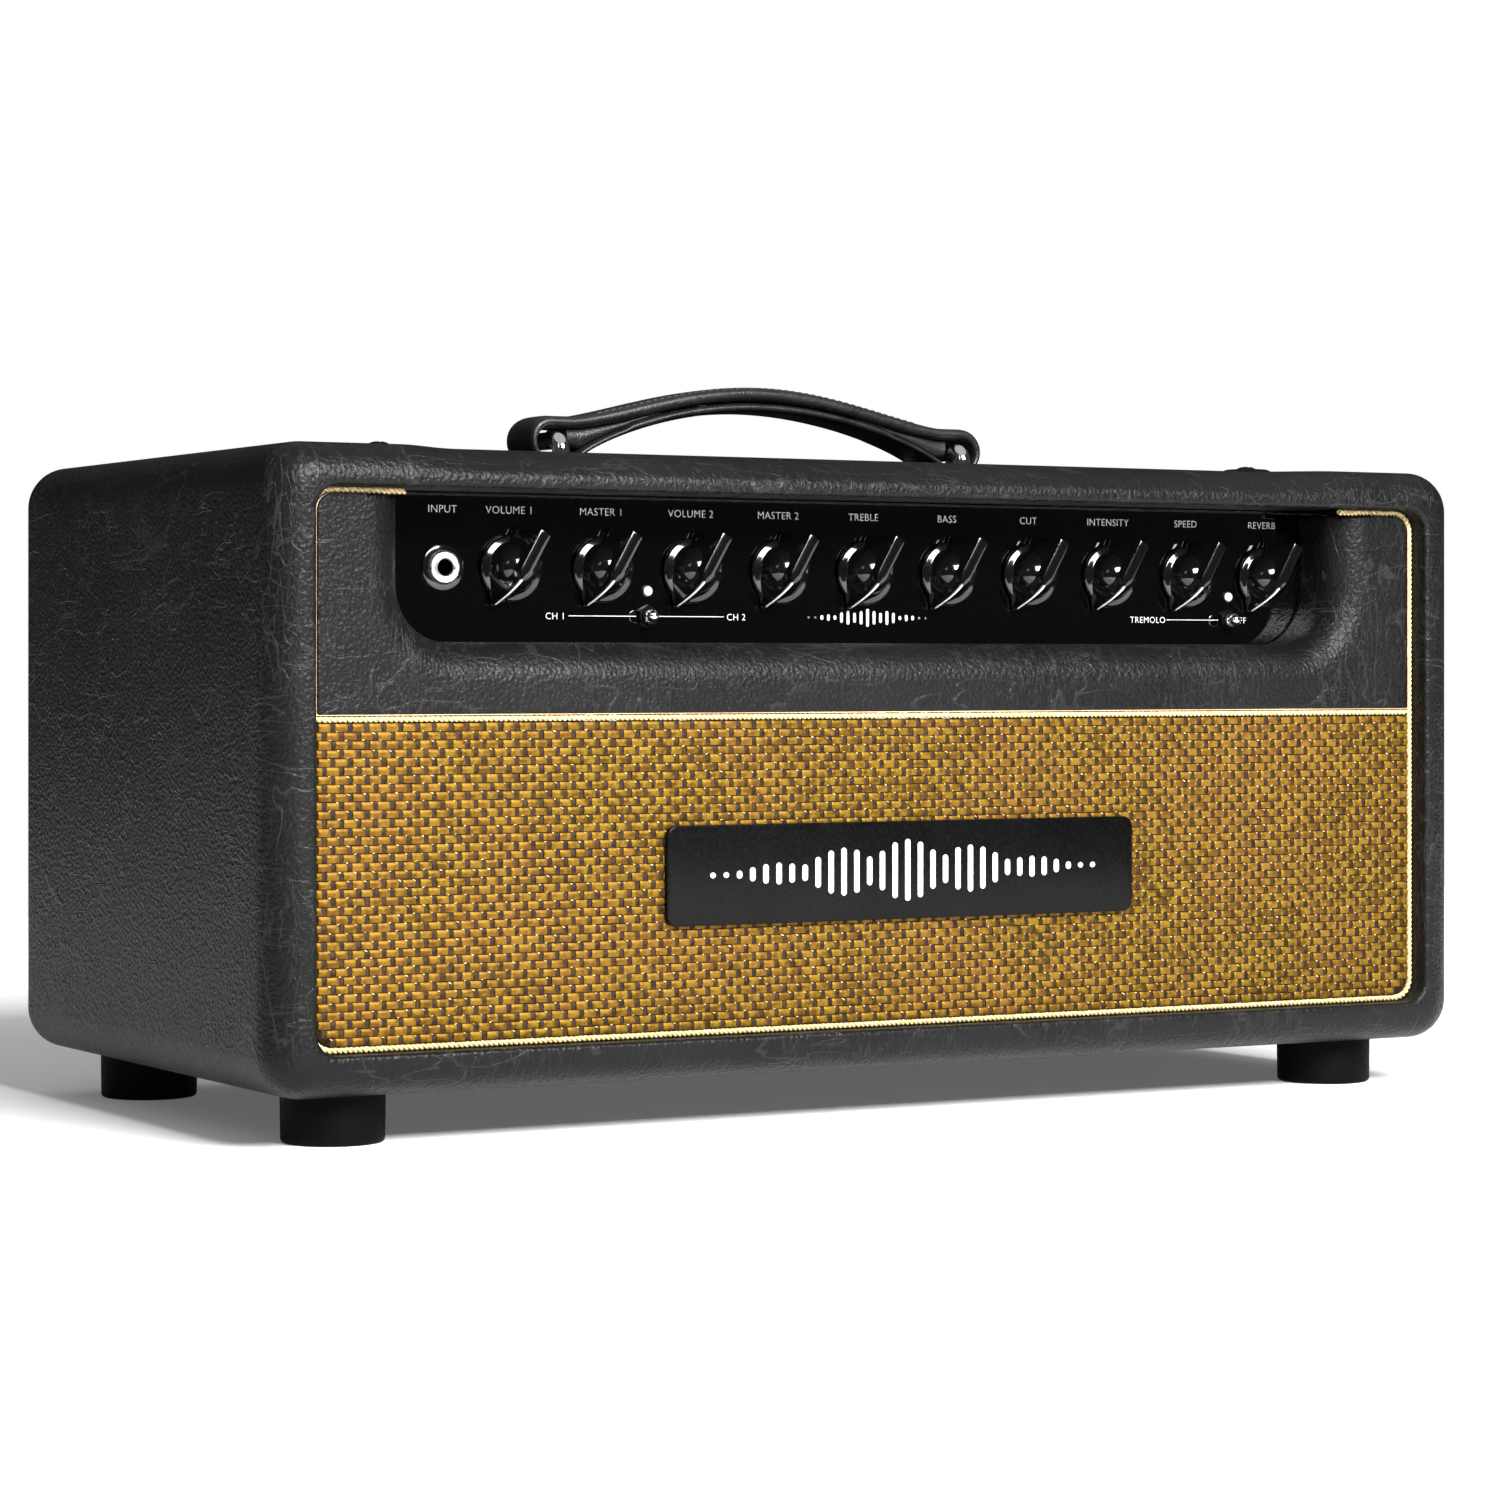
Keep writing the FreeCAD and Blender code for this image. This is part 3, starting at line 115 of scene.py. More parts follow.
def circle(radius, count, start=0.0):
    """Evenly spaced points round the origin."""
    angles = [math.tau * (i + start) / count for i in range(count)]
    return [(radius * math.cos(angle), radius * math.sin(angle)) for angle in angles]


def at_depth(path, y):
    """A path in X and Z, stood up at a depth."""
    return [(x, y, z) for x, z in path]


def in_millimetres(rows):
    return [[(x * MM, y * MM, z * MM) for x, y, z in row] for row in rows]


def direction(path, i):
    """The direction of a path of points at one of them."""
    return (path[min(i + 1, len(path) - 1)] - path[max(i - 1, 0)]).normalized()


def resampled(chain, step):
    """Evenly spaced points along a chain of points."""
    out, carry = [chain[0]], 0.0
    for a, b in zip(chain, chain[1:]):
        length = (b - a).length
        at = step - carry
        while at <= length:
            out.append(a.lerp(b, at / length))
            at += step
        carry = length - (at - step)
    return out


def facing(origin, along):
    """A frame whose Z points along a direction and whose Y is as near up as it can be."""
    z = Vector(along).normalized()
    x = Vector((0, 0, 1)).cross(z).normalized()
    place = Matrix((x, z.cross(x), z)).transposed().to_4x4()
    place.translation = Vector(origin)
    return place


# ---------------------------------------------------------------- shapes and pieces

class Shape:
    """Points and faces gathered from several parts before they become one mesh."""

    def __init__(self):
        self.points = []
        self.faces = []

    def add(self, points, faces, place=None):
        start = len(self.points)
        if place is not None:
            points = [place @ Vector(point) for point in points]
        self.points.extend(points)
        self.faces.extend(tuple(start + corner for corner in face) for face in faces)
        return self

    def grid(self, rows, place=None, close_rows=False, close_columns=False, caps=False):
        """Rows of points as a surface, with its first and last rows closed if caps is true."""
        count, columns = len(rows), len(rows[0])
        faces = []
        for row in range(count if close_rows else count - 1):
            after_row = (row + 1) % count
            for column in range(columns if close_columns else columns - 1):
                after = (column + 1) % columns
                faces.append((row * columns + column, row * columns + after,
                              after_row * columns + after, after_row * columns + column))
        if caps:
            faces.append(tuple(range(columns))[::-1])
            faces.append(tuple((count - 1) * columns + i for i in range(columns)))
        return self.add([point for row in rows for point in row], faces, place)

    def lathe(self, profile, place=None, segments=48):
        """A profile of radius and height in millimetres, turned about Z; a bore closes it."""
        rows = [[(x, y, height * MM) for x, y in circle(radius * MM, segments)]
                for radius, height in profile]
        has_bore = min(profile[0][0], profile[-1][0]) > 1e-6
        return self.grid(rows, place, close_rows=has_bore, close_columns=True)

    def tube(self, path, radius, sides):
        """A round tube along points, its frame carried from point to point."""
        path = [Vector(point) for point in path]
        rows = []
        normal = direction(path, 0).orthogonal()
        for i, point in enumerate(path):
            along = direction(path, i)
            normal = (normal - along * normal.dot(along)).normalized()
            side = along.cross(normal)
            rows.append([point + normal * u + side * v for u, v in circle(radius, sides)])
        return self.grid(rows, close_columns=True, caps=True)

    def box(self, low, high):
        (x0, y0, z0), (x1, y1, z1) = low, high
        rows = [[(x0, y0, z), (x1, y0, z), (x1, y1, z), (x0, y1, z)] for z in (z0, z1)]
        return self.grid(rows, close_columns=True, caps=True)


def piece(name, shape, material, body="cabinet", replaces=(), crease=40, thickness=0.0):
    """Make a mesh object of a shape, give it its material and say what it rides on."""
    mesh = bpy.data.meshes.new(name)
    mesh.from_pydata([tuple(point) for point in shape.points], [], shape.faces)
    mesh.validate()
    work = bmesh.new()
    work.from_mesh(mesh)
    bmesh.ops.remove_doubles(work, verts=work.verts, dist=1e-7)
    bmesh.ops.recalc_face_normals(work, faces=work.faces)
    work.to_mesh(mesh)
    work.free()
    mesh.shade_smooth()
    mesh.set_sharp_from_angle(angle=math.radians(crease))
    mesh.materials.append(material)
    item = bpy.data.objects.new(name, mesh)
    bpy.context.scene.collection.objects.link(item)
    if thickness:
        skin = item.modifiers.new("skin", "SOLIDIFY")
        skin.thickness = thickness
        skin.offset = -1
    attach(item, body)
    if replaces:
        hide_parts(*replaces)
    return item


# ---------------------------------------------------------------- materials

class Paint:
    """A principled material and short ways to add texture nodes to it."""

    def __init__(self, name, color, roughness, **settings):
        self.material = bpy.data.materials.new(name)
        self.material.use_nodes = True
        self.tree = self.material.node_tree
        self.shader = self.tree.nodes["Principled BSDF"]
        self.coordinates = self.tree.nodes.new("ShaderNodeTexCoord").outputs["Object"]
        self.set(self.shader, Roughness=roughness, Base_Color=(*color, 1), **settings)
        self.last_bump = None

    def put(self, socket, value):
        """Link an output to a socket, or write a plain value in it."""
        if isinstance(value, bpy.types.NodeSocket):
            self.tree.links.new(value, socket)
        else:
            socket.default_value = value

    def set(self, node, **values):
        for key, value in values.items():
            self.put(node.inputs[key.replace("_", " ")], value)

    def node(self, kind, values=None, **options):
        item = self.tree.nodes.new("ShaderNode" + kind)
        for key, value in options.items():
            setattr(item, key, value)
        self.set(item, **(values or {}))
        return item

    def mapped(self, scale, turn=(0.0, 0.0, 0.0)):
        """Object coordinates turned and scaled, so that a texture can run along one axis."""
        item = self.node("Mapping", {"Vector": self.coordinates, "Rotation": turn, "Scale": scale})
        return item.outputs["Vector"]

    def noise(self, scale, detail=3.0, vector=None, distortion=0.0):
        return self.node("TexNoise", {"Vector": vector or self.coordinates, "Scale": scale,
                                      "Detail": detail, "Distortion": distortion}).outputs["Fac"]

    def cells(self, scale, feature="F1"):
        item = self.node("TexVoronoi", {"Vector": self.coordinates, "Scale": scale}, feature=feature)
        return item.outputs["Distance"]

    def ramp(self, value, low, high, to_low=0.0, to_high=1.0):
        """A value's range from low to high, mapped smoothly to another range."""
        item = self.node("MapRange", {"Value": value, "From Min": low, "From Max": high,
                                      "To Min": to_low, "To Max": to_high},
                         interpolation_type="SMOOTHSTEP")
        return item.outputs["Result"]

    def math(self, operation, a, b):
        item = self.node("Math", operation=operation)
        for socket, value in zip(item.inputs, (a, b)):
            self.put(socket, value)
        return item.outputs[0]

    def blend(self, share, low, high):
        """A colour between two others."""
        item = self.node("Mix", {"Factor": share}, data_type="RGBA")
        ends = [socket for socket in item.inputs if socket.type == "RGBA"]
        for socket, value in zip(ends, (low, high)):
            self.put(socket, value if isinstance(value, bpy.types.NodeSocket) else (*value, 1))
        return [socket for socket in item.outputs if socket.type == "RGBA"][0]

    def color(self, socket):
        self.set(self.shader, Base_Color=socket)

    def tones(self, dark, pale, scale, start=0.3, end=0.7, detail=3.0):
        """Let the colour drift between two tones."""
        self.color(self.blend(self.ramp(self.noise(scale, detail), start, end), dark, pale))

    def rough(self, socket):
        self.set(self.shader, Roughness=socket)

    def bump(self, height, distance, strength):
        """Add a layer of relief; distance is its full height in millimetres."""
        item = self.node("Bump", {"Height": height, "Distance": distance * MM, "Strength": strength})
        if self.last_bump is not None:
            self.set(item, Normal=self.last_bump)
        self.last_bump = item.outputs["Normal"]
        self.set(self.shader, Normal=self.last_bump)


VINYL_DARK = (0.003, 0.003, 0.0031)
VINYL_PALE = (0.006, 0.006, 0.0062)
# the paler colour that the creases and short wrinkles are drawn in
VINYL_CREASE_PALE = (0.03, 0.03, 0.0305)


def vinyl_material():
    """Black vinyl cloth: a fine grain, short wrinkles and long hair-like creases."""
    paint = Paint("covering_vinyl", VINYL_DARK, 0.42, Specular_IOR_Level=0.155)

    def hairs(turn, scale, thin, low, high):
        """Broken thin lines that mostly run across the direction of the largest scale."""
        field = paint.noise(1.0, 3.0, paint.mapped(scale, turn), 0.25)
        off = paint.math("ABSOLUTE", paint.math("SUBTRACT", field, 0.5), 0.0)
        here = paint.ramp(paint.noise(26.0, 2.0, paint.mapped((1.0, 1.0, 1.0), turn)), low, high)
        return paint.math("MULTIPLY", paint.ramp(off, 0.0, thin, 1.0, 0.0), here)

    across = hairs((0.1, 0.25, 0.15), (60.0, 11.0, 11.0), 0.009, 0.42, 0.52)
    slanted = hairs((0.6, 0.3, 0.9), (14.0, 62.0, 20.0), 0.009, 0.42, 0.52)
    raised = hairs((-0.7, 0.2, 0.3), (14.0, 14.0, 66.0), 0.009, 0.44, 0.54)
    short = hairs((0.05, 0.1, 0.2), (330.0, 90.0, 75.0), 0.035, 0.4, 0.62)
    lines = paint.math("MAXIMUM", across, paint.math("MAXIMUM", slanted, raised))
    grain = paint.noise(900.0)
    base = paint.blend(paint.ramp(paint.noise(11.0), 0.3, 0.7), VINYL_DARK, VINYL_PALE)
    # the short wrinkles and the long creases are painted paler in colour, as well as raised by their
    # bumps
    base = paint.blend(paint.math("MULTIPLY", short, 0.35), base, VINYL_CREASE_PALE)
    paint.color(paint.blend(paint.math("MULTIPLY", lines, 0.4), base, VINYL_CREASE_PALE))
    paint.rough(paint.ramp(grain, 0.3, 0.7, 0.34, 0.46))
    paint.bump(lines, 0.2, 0.7)
    paint.bump(short, 0.2, 0.7)
    paint.bump(paint.cells(560.0), 0.3, 0.8)
    paint.bump(grain, 0.25, 0.8)
    return paint.material


def gold_thread_material():
    """Gold warp threads, some a little lighter or redder than others."""
    paint = Paint("gold_thread", (0.3, 0.18, 0.04), 0.36, Specular_IOR_Level=0.5,
                  Specular_Tint=(1.0, 0.5, 0.09, 1.0))
    tone = paint.ramp(paint.noise(330.0, 2.0), 0.35, 0.65)
    broad = paint.ramp(paint.noise(18.0, 2.0), 0.35, 0.65, 0.0, 0.35)
    color = paint.blend(tone, (0.04, 0.021, 0.0015), (0.14, 0.084, 0.008))
    paint.color(paint.blend(broad, color, (0.14, 0.062, 0.014)))
    paint.bump(paint.noise(1.0, 2.0, paint.mapped((9000.0, 900.0, 900.0))), 0.08, 0.5)
    return paint.material


def brown_thread_material():
    paint = Paint("brown_thread", (0.09, 0.035, 0.008), 0.6, Specular_IOR_Level=0.2)
    paint.tones((0.008, 0.0035, 0.001), (0.04, 0.017, 0.0035), 420.0, 0.35, 0.65)
    paint.bump(paint.noise(1.0, 2.0, paint.mapped((7000.0, 900.0, 900.0))), 0.08, 0.5)
    return paint.material


def weft_material():
    paint = Paint("dark_weft", (0.03, 0.018, 0.006), 0.8, Specular_IOR_Level=0.1)
    paint.tones((0.005, 0.003, 0.001), (0.02, 0.012, 0.004), 900.0, 0.4, 0.6)
    paint.bump(paint.noise(1.0, 2.0, paint.mapped((900.0, 900.0, 5000.0))), 0.1, 0.6)
    return paint.material


def pale_cord_and_glint_material(name, low, high):
    paint = Paint(name, high, 0.38)
    paint.tones(low, high, 500.0)
    paint.bump(paint.noise(3200.0, 2.0), 0.08, 0.5)
    return paint.material


def gloss_material(name, color, roughness, wave=0.0):
    """A polished plastic or lacquer with the faintest unevenness and a few specks of dust."""
    paint = Paint(name, color, roughness, Coat_Weight=0.15, Coat_Roughness=0.02)
    specks = paint.ramp(paint.cells(160.0), 0.0, 0.035, 1.0, 0.0)
    paint.color(paint.blend(paint.math("MULTIPLY", specks, 0.25), color, (0.1, 0.1, 0.1)))
    paint.rough(paint.ramp(paint.noise(60.0), 0.3, 0.7, roughness * 0.8, roughness * 1.3))
    if wave:
        paint.bump(paint.noise(25.0, 1.0), wave, 0.4)
    return paint.material


def metal_material(name, color, roughness, brushed=None):
    """A bare or plated metal; brushed stretches its marks along an axis and gives them relief."""
    paint = Paint(name, color, roughness, Metallic=1.0)
    if brushed:
        marks = paint.noise(1.0, 4.0, paint.mapped(brushed))
        paint.bump(marks, 0.02, 0.5)
    else:
        marks = paint.noise(250.0, 4.0)
    paint.rough(paint.ramp(marks, 0.3, 0.7, roughness * 0.7, roughness * 1.3))
    return paint.material


def coated_material(name, color, roughness, grain=1400.0, height=0.05, gloss=0.5):
    """Powder coat, moulded plastic or rubber: an even grain over a slightly varied tone."""
    paint = Paint(name, color, roughness, Specular_IOR_Level=gloss)
    paint.tones(color, tuple(channel * 1.6 for channel in color), 35.0, 0.35, 0.75, 4.0)
    fine = paint.noise(grain, 2.0)
    paint.rough(paint.ramp(fine, 0.3, 0.7, roughness * 0.85, min(roughness * 1.15, 1.0)))
    paint.bump(fine, height, 0.5)
    return paint.material


def leather_material():
    """Smooth strap leather with fine pores and soft wrinkles."""
    paint = Paint("strap_leather", (0.006, 0.006, 0.006), 0.34, Specular_IOR_Level=0.35)
    paint.tones((0.004, 0.004, 0.004), (0.011, 0.0105, 0.0105), 60.0, 0.3, 0.75, 4.0)
    paint.rough(paint.ramp(paint.noise(300.0), 0.3, 0.7, 0.3, 0.46))
    paint.bump(paint.ramp(paint.cells(420.0, "DISTANCE_TO_EDGE"), 0.0, 0.12), 0.07, 0.5)
    paint.bump(paint.noise(2600.0, 2.0), 0.05, 0.5)
    return paint.material


def wood_material():
    """Birch plywood, its grain along X."""
    paint = Paint("plywood", (0.62, 0.43, 0.24), 0.55)
    grain = paint.noise(1.0, 6.0, paint.mapped((14.0, 160.0, 160.0)), 0.6)
    paint.color(paint.blend(paint.ramp(grain, 0.3, 0.7), (0.42, 0.26, 0.13), (0.68, 0.49, 0.29)))
    paint.bump(grain, 0.15, 0.4)
    return paint.material


def glass_material():
    paint = Paint("valve_glass", (0.97, 0.98, 0.98), 0.02, IOR=1.47, Transmission_Weight=1.0)
    paint.rough(paint.ramp(paint.noise(40.0), 0.4, 0.8, 0.01, 0.06))
    return paint.material


def lamp_material():
    paint = Paint("lamp_lens", (0.85, 0.84, 0.8), 0.22, Subsurface_Weight=0.3,
                  Subsurface_Scale=0.002)
    paint.tones((0.78, 0.77, 0.73), (0.9, 0.89, 0.86), 500.0)
    return paint.material


def print_material():
    paint = Paint("white_print", (0.62, 0.62, 0.62), 0.5)
    paint.tones((0.56, 0.56, 0.56), (0.68, 0.68, 0.68), 700.0)
    return paint.material


def board_material():
    """Green circuit laminate with paler tracks."""
    paint = Paint("board_laminate", (0.03, 0.14, 0.05), 0.4)
    tracks = paint.ramp(paint.cells(120.0, "DISTANCE_TO_EDGE"), 0.04, 0.06, 1.0, 0.0)
    paint.color(paint.blend(tracks, (0.02, 0.11, 0.04), (0.06, 0.24, 0.09)))
    paint.bump(tracks, 0.05, 0.6)
    return paint.material


def lamination_material():
    """Edges of stacked iron sheets under black lacquer."""
    paint = Paint("lacquered_core", (0.012, 0.012, 0.014), 0.42)
    paint.tones((0.01, 0.01, 0.012), (0.03, 0.03, 0.032), 50.0, 0.3, 0.75, 4.0)
    wave = paint.node("TexWave", {"Vector": paint.coordinates, "Scale": 320.0, "Distortion": 0.4},
                      bands_direction="Y")
    paint.bump(wave.outputs["Fac"], 0.15, 0.6)
    return paint.material


VINYL = vinyl_material()
GOLD = gold_thread_material()
BROWN = brown_thread_material()
WEFT = weft_material()
# the pale paint for the small specks between the grille's rows: painted highlights that stand for glints
# of light on the weft
GLINT_HIGHLIGHT = pale_cord_and_glint_material("painted_glint", (0.62, 0.45, 0.19), (0.93, 0.77, 0.45))
PIPING = pale_cord_and_glint_material("piping_cord", (0.46, 0.34, 0.14), (0.72, 0.58, 0.3))
PANEL = gloss_material("panel_gloss", (0.0006, 0.0006, 0.0006), 0.035, 0.02)
KNOB = gloss_material("knob_phenolic", (0.002, 0.002, 0.002), 0.09)
PLATE = coated_material("plate_satin", (0.0015, 0.0015, 0.0015), 0.26, 900.0, 0.02, 0.12)
CHROME = metal_material("chrome", (0.86, 0.86, 0.87), 0.06)
NICKEL = metal_material("nickel", (0.68, 0.67, 0.65), 0.18)
SATIN_CHROME = metal_material("satin_chrome", (0.9, 0.9, 0.9), 0.34)
STEEL = metal_material("zinc_steel", (0.56, 0.57, 0.58), 0.35, (30.0, 900.0, 900.0))
BLACK_STEEL = coated_material("black_steel", (0.0015, 0.0015, 0.0015), 0.34, 1400.0, 0.03, 0.06)
POWDER = coated_material("powder_coat", (0.012, 0.012, 0.013), 0.5, 1100.0, 0.08)
MOULDED = coated_material("moulded_black", (0.004, 0.004, 0.004), 0.4, 1400.0, 0.03, 0.25)
RUBBER = coated_material("foot_rubber", (0.0012, 0.0012, 0.0012), 0.6, 700.0, 0.12, 0.05)
SLEEVE = coated_material("capacitor_sleeve", (0.02, 0.05, 0.22), 0.3)
WIRE = coated_material("wire_sleeve", (0.05, 0.045, 0.04), 0.7, 1800.0, 0.15)
THREAD = coated_material("strap_thread", (0.02, 0.02, 0.02), 0.6, 2400.0, 0.1)
CERAMIC = coated_material("socket_ceramic", (0.6, 0.58, 0.52), 0.3, 500.0, 0.03)
LEATHER = leather_material()
WOOD = wood_material()
GLASS = glass_material()
LAMP = lamp_material()
PRINT = print_material()
LAMINATE = board_material()
CORE = lamination_material()

NODE_MATERIALS = {
    WOOD: ["top_board", "bottom_board", "left_board", "right_board", "upper_baffle",
           "grille_board", "side_cleats"],
    STEEL: ["chassis", "foot_screws", "reverb_tank", "reverb_springs", "pot_bodies"],
    PANEL: ["faceplate"],
    POWDER: ["rear_plate", "vent_grille"],
    CHROME: ["rear_toggle_bodies", "toggle_bodies"],
    NICKEL: ["rear_jacks"],
    MOULDED: ["mains_inlet", "fuse_holder", "fuse_cap"],
    CORE: ["power_transformer", "output_transformer", "choke"],
    CERAMIC: ["valve_sockets"],
    LAMINATE: ["circuit_board"],
    SLEEVE: ["filter_capacitors"],
    WIRE: ["wiring_looms"],
    BLACK_STEEL: ["back_panel_screws"],
}


def dress_nodes():
    """Give every CAD node that stays in view its material."""
    for material, names in NODE_MATERIALS.items():
        for name in names:
            materials = bpy.data.objects[name].data.materials
            materials.clear()
            materials.append(material)


# ---------------------------------------------------------------- the covered cabinet

SKIN = 0.55 * MM
CORNER_ROUND = 17.4 * MM
FRONT_ROUND = 16.0 * MM
REAR_ROUND = 12.8 * MM
LIP_ROUND = 1.8 * MM
SMALL_LIP = 2.0 * MM
SCOOP_LIP = 3.2 * MM
FRONT_CORNER = 9.4 * MM
REAR_CORNER = 1.2 * MM
CORNER_CHANGE = (0.55, 0.9)
SCOOP_DEPTH = 40.0 * MM
SCOOP_REACH = 222.0 * MM
SCOOP_RUN = 34.0 * MM
WRAP = 40.0 * MM
MIDDLE_RINGS = 22


def scoop(x):
    """How far the top board's front edge is carved away at x, from 0 to 1."""
    return ease((SCOOP_REACH - abs(x)) / SCOOP_RUN)


def perimeter(along_x, along_z, turn):
    """Places round a rounded rectangle: the side or corner, and how far along it."""
    places = []
    for corner, (side, count) in enumerate((("bottom", along_x), ("right", along_z),
                                            ("top", along_x), ("left", along_z))):
        places += [(side, i / count) for i in range(count)]
        places += [("corner%d" % corner, i / turn) for i in range(turn)]
    return places


def on_rectangle(spot, share, half_x, low, high, radius):
    """A point of a rounded rectangle in X and Z."""
    inner_x = half_x - radius
    if spot == "bottom":
        return mix(-inner_x, inner_x, share), low
    if spot == "right":
        return half_x, mix(low + radius, high - radius, share)
    if spot == "top":
        return mix(inner_x, -inner_x, share), high
    if spot == "left":
        return -half_x, mix(high - radius, low + radius, share)
    corner = int(spot[-1])
    centre_x = inner_x if corner in (0, 1) else -inner_x
    centre_z = low + radius if corner in (0, 3) else high - radius
    angle = math.radians(-90 + 90 * corner + 90 * share)
    return centre_x + radius * math.cos(angle), centre_z + radius * math.sin(angle)


def shell_stations():
    """Places along the covering's section, from the front wrap over the wall to the rear wrap.

    Each is its stretch of the section and its place in it: an angle where the stretch is round,
    and a share of its length where it is straight.
    """
    stations = [("wrap", share) for share in (1.0, 0.75, 0.5, 0.25)]
    stations += [("lip", math.radians(angle)) for angle in range(0, 91, 18)]
    stations += [("front", math.radians(angle)) for angle in range(6, 91, 6)]
    stations += [("middle", ring / MIDDLE_RINGS) for ring in range(1, MIDDLE_RINGS)]
    stations += [("rear", math.radians(angle)) for angle in range(0, 91, 9)]
    stations += [("rear_lip", math.radians(angle)) for angle in range(0, 91, 18)]
    stations += [("rear_wrap", share) for share in (0.25, 0.5, 0.75, 1.0)]
    return stations


def shell_point(station, spot, share):
    """A point of the covering; taken is the share of the wall that it lies inward by."""
    stretch, place = station
    outer_x = on_rectangle(spot, share, HALF_WIDTH, BASE, TOP, CORNER_ROUND)[0]
    carved = scoop(outer_x) if spot == "top" else 0.0
    lip = mix(SMALL_LIP, SCOOP_LIP, carved)
    deep = mix(FRONT_ROUND, SCOOP_DEPTH, carved)
    wall_x = SIDE_WALL
    taken = 1.0
    if stretch == "wrap":
        y = mix(FRONT + LIP_ROUND, FRONT + WRAP, place)
    elif stretch == "lip":
        taken = 1 - LIP_ROUND / DECK_WALL * (1 - math.cos(place))
        y = FRONT + LIP_ROUND * (1 - math.sin(place))
    elif stretch == "front":
        taken = (1 - lip / DECK_WALL) * (1 - math.sin(place))
        y = FRONT + deep * (1 - math.cos(place))
    elif stretch == "middle":
        taken = 0.0
        y = mix(FRONT + deep, BACK - REAR_ROUND, place)
    elif stretch == "rear":
        # the roundover's radius is one length all round, whatever the walls' thickness
        wall_x = DECK_WALL
        taken = REAR_ROUND / DECK_WALL * (1 - math.cos(place))
        y = BACK - REAR_ROUND * (1 - math.sin(place))
    elif stretch == "rear_lip":
        taken = 1 - LIP_ROUND / DECK_WALL * (1 - math.sin(place))
        y = BACK - LIP_ROUND * (1 - math.cos(place))
    else:
        y = mix(BACK - LIP_ROUND, BACK - WRAP, place)
    radius = mix(CORNER_ROUND, REAR_CORNER, taken)
    if stretch in ("wrap", "lip", "front"):
        start, end = CORNER_CHANGE
        radius = mix(radius, FRONT_CORNER, min(1.0, max(0.0, (taken - start) / (end - start)) ** 2))
    x, z = on_rectangle(spot, share, HALF_WIDTH - wall_x * taken, BASE + DECK_WALL * taken,
                        TOP - DECK_WALL * taken, radius)
    return x, y, z


def make_shell():
    """The glued covering of the cabinet, wrapped in at the front and back."""
    ring = perimeter(along_x=150, along_z=40, turn=14)
    rows = [[shell_point(station, spot, share) for spot, share in ring]
            for station in shell_stations()]
    piece("covered_shell", Shape().grid(rows, close_columns=True), VINYL,
          replaces=["cabinet_covering"], crease=60, thickness=SKIN)


# ---------------------------------------------------------------- the front

CUTOUT_X = 220.0 * MM
CUTOUT_LOW = BAFFLE_LOW.z + 27.9 * MM
CUTOUT_CORNER = 22.0 * MM
CUTOUT_ROUND = 16.0 * MM
EDGE_ROUND = 1.5 * MM
OUTER_CORNER = 6.6 * MM
LOWER_CORNER = 1.0 * MM


def u_path(reach, bottom, corner, shoulder=0.0):
    """A path down one side, across and up the other, its bottom corners and shoulders round."""
    side, across, turn, cap = 20, 110, 14, 6
    top = BAFFLE_HIGH.z
    half = arc(reach - shoulder, top - shoulder, shoulder, 90, -90, cap)[:-1]
    half += [(reach, mix(top - shoulder, bottom + corner, i / side)) for i in range(side)]
    half += arc(reach - corner, bottom + corner, corner, 0, -90, turn)[:-1]
    middle = [(mix(-reach + corner, reach - corner, i / across), bottom) for i in range(across + 1)]
    return [(-x, z) for x, z in half] + middle + half[::-1]


def make_surround():
    """The covered surround of the control panel, with its big roundover."""

    def opening(out):
        return u_path(CUTOUT_X + out, CUTOUT_LOW - out, CUTOUT_CORNER + out)

    def outline(inset):
        return u_path(BAFFLE_HIGH.x - inset, BAFFLE_LOW.z + inset, LOWER_CORNER, OUTER_CORNER)

    face = BAFFLE_LOW.y
    rows = [at_depth(opening(0), mix(face + CUTOUT_ROUND, PANEL_FACE - 0.1 * MM, share))
            for share in (1.0, 0.8, 0.6, 0.4, 0.2)]
    rows += [at_depth(opening(out), y)
             for out, y in bend(CUTOUT_ROUND, face + CUTOUT_ROUND, -CUTOUT_ROUND, -CUTOUT_ROUND,
                                range(0, 91, 6))]
    inner, outer = opening(CUTOUT_ROUND), outline(EDGE_ROUND)
    for share in (step / 8 for step in range(1, 9)):
        rows.append([(mix(a[0], b[0], share), face, mix(a[1], b[1], share))
                     for a, b in zip(inner, outer)])
    rows += [at_depth(outline(inset), y)
             for y, inset in bend(face + EDGE_ROUND, EDGE_ROUND, -EDGE_ROUND, -EDGE_ROUND,
                                  range(18, 91, 18))]
    rows += [at_depth(outline(0), mix(face + EDGE_ROUND, BAFFLE_HIGH.y, share))
             for share in (0.3, 0.7, 1.0)]
    piece("panel_surround", Shape().grid(rows), VINYL, replaces=["upper_baffle_covering"],
          crease=60, thickness=SKIN)


COLUMNS = 74
ROWS = 37
CLOTH_EDGE = 1.1 * MM
CLOTH_SKIN = 0.4 * MM
GROUP_WIDTH = 0.71
GROUP_HEIGHT = 0.93
GAP_HEIGHT = 0.98
UNEVEN = 0.12 * MM
LEAST_GROUP = 1.5 * MM
LEAST_GAP = 0.8 * MM
GLINT_SHARE = 0.86
SEED = 7
PATCH_EDGE = 0.14
# a patch's depth behind the cloth's face at its ends, its swell, how far the swell falls at its
# left and right edge, the ribs' height, and the share of the swell's curve cut off at its ends
GOLD_RELIEF = (0.87, 0.62, 0.45, 0.2, 0.1)
BROWN_RELIEF = (1.1, 0.25, 0.0, 0.18, 0.08)


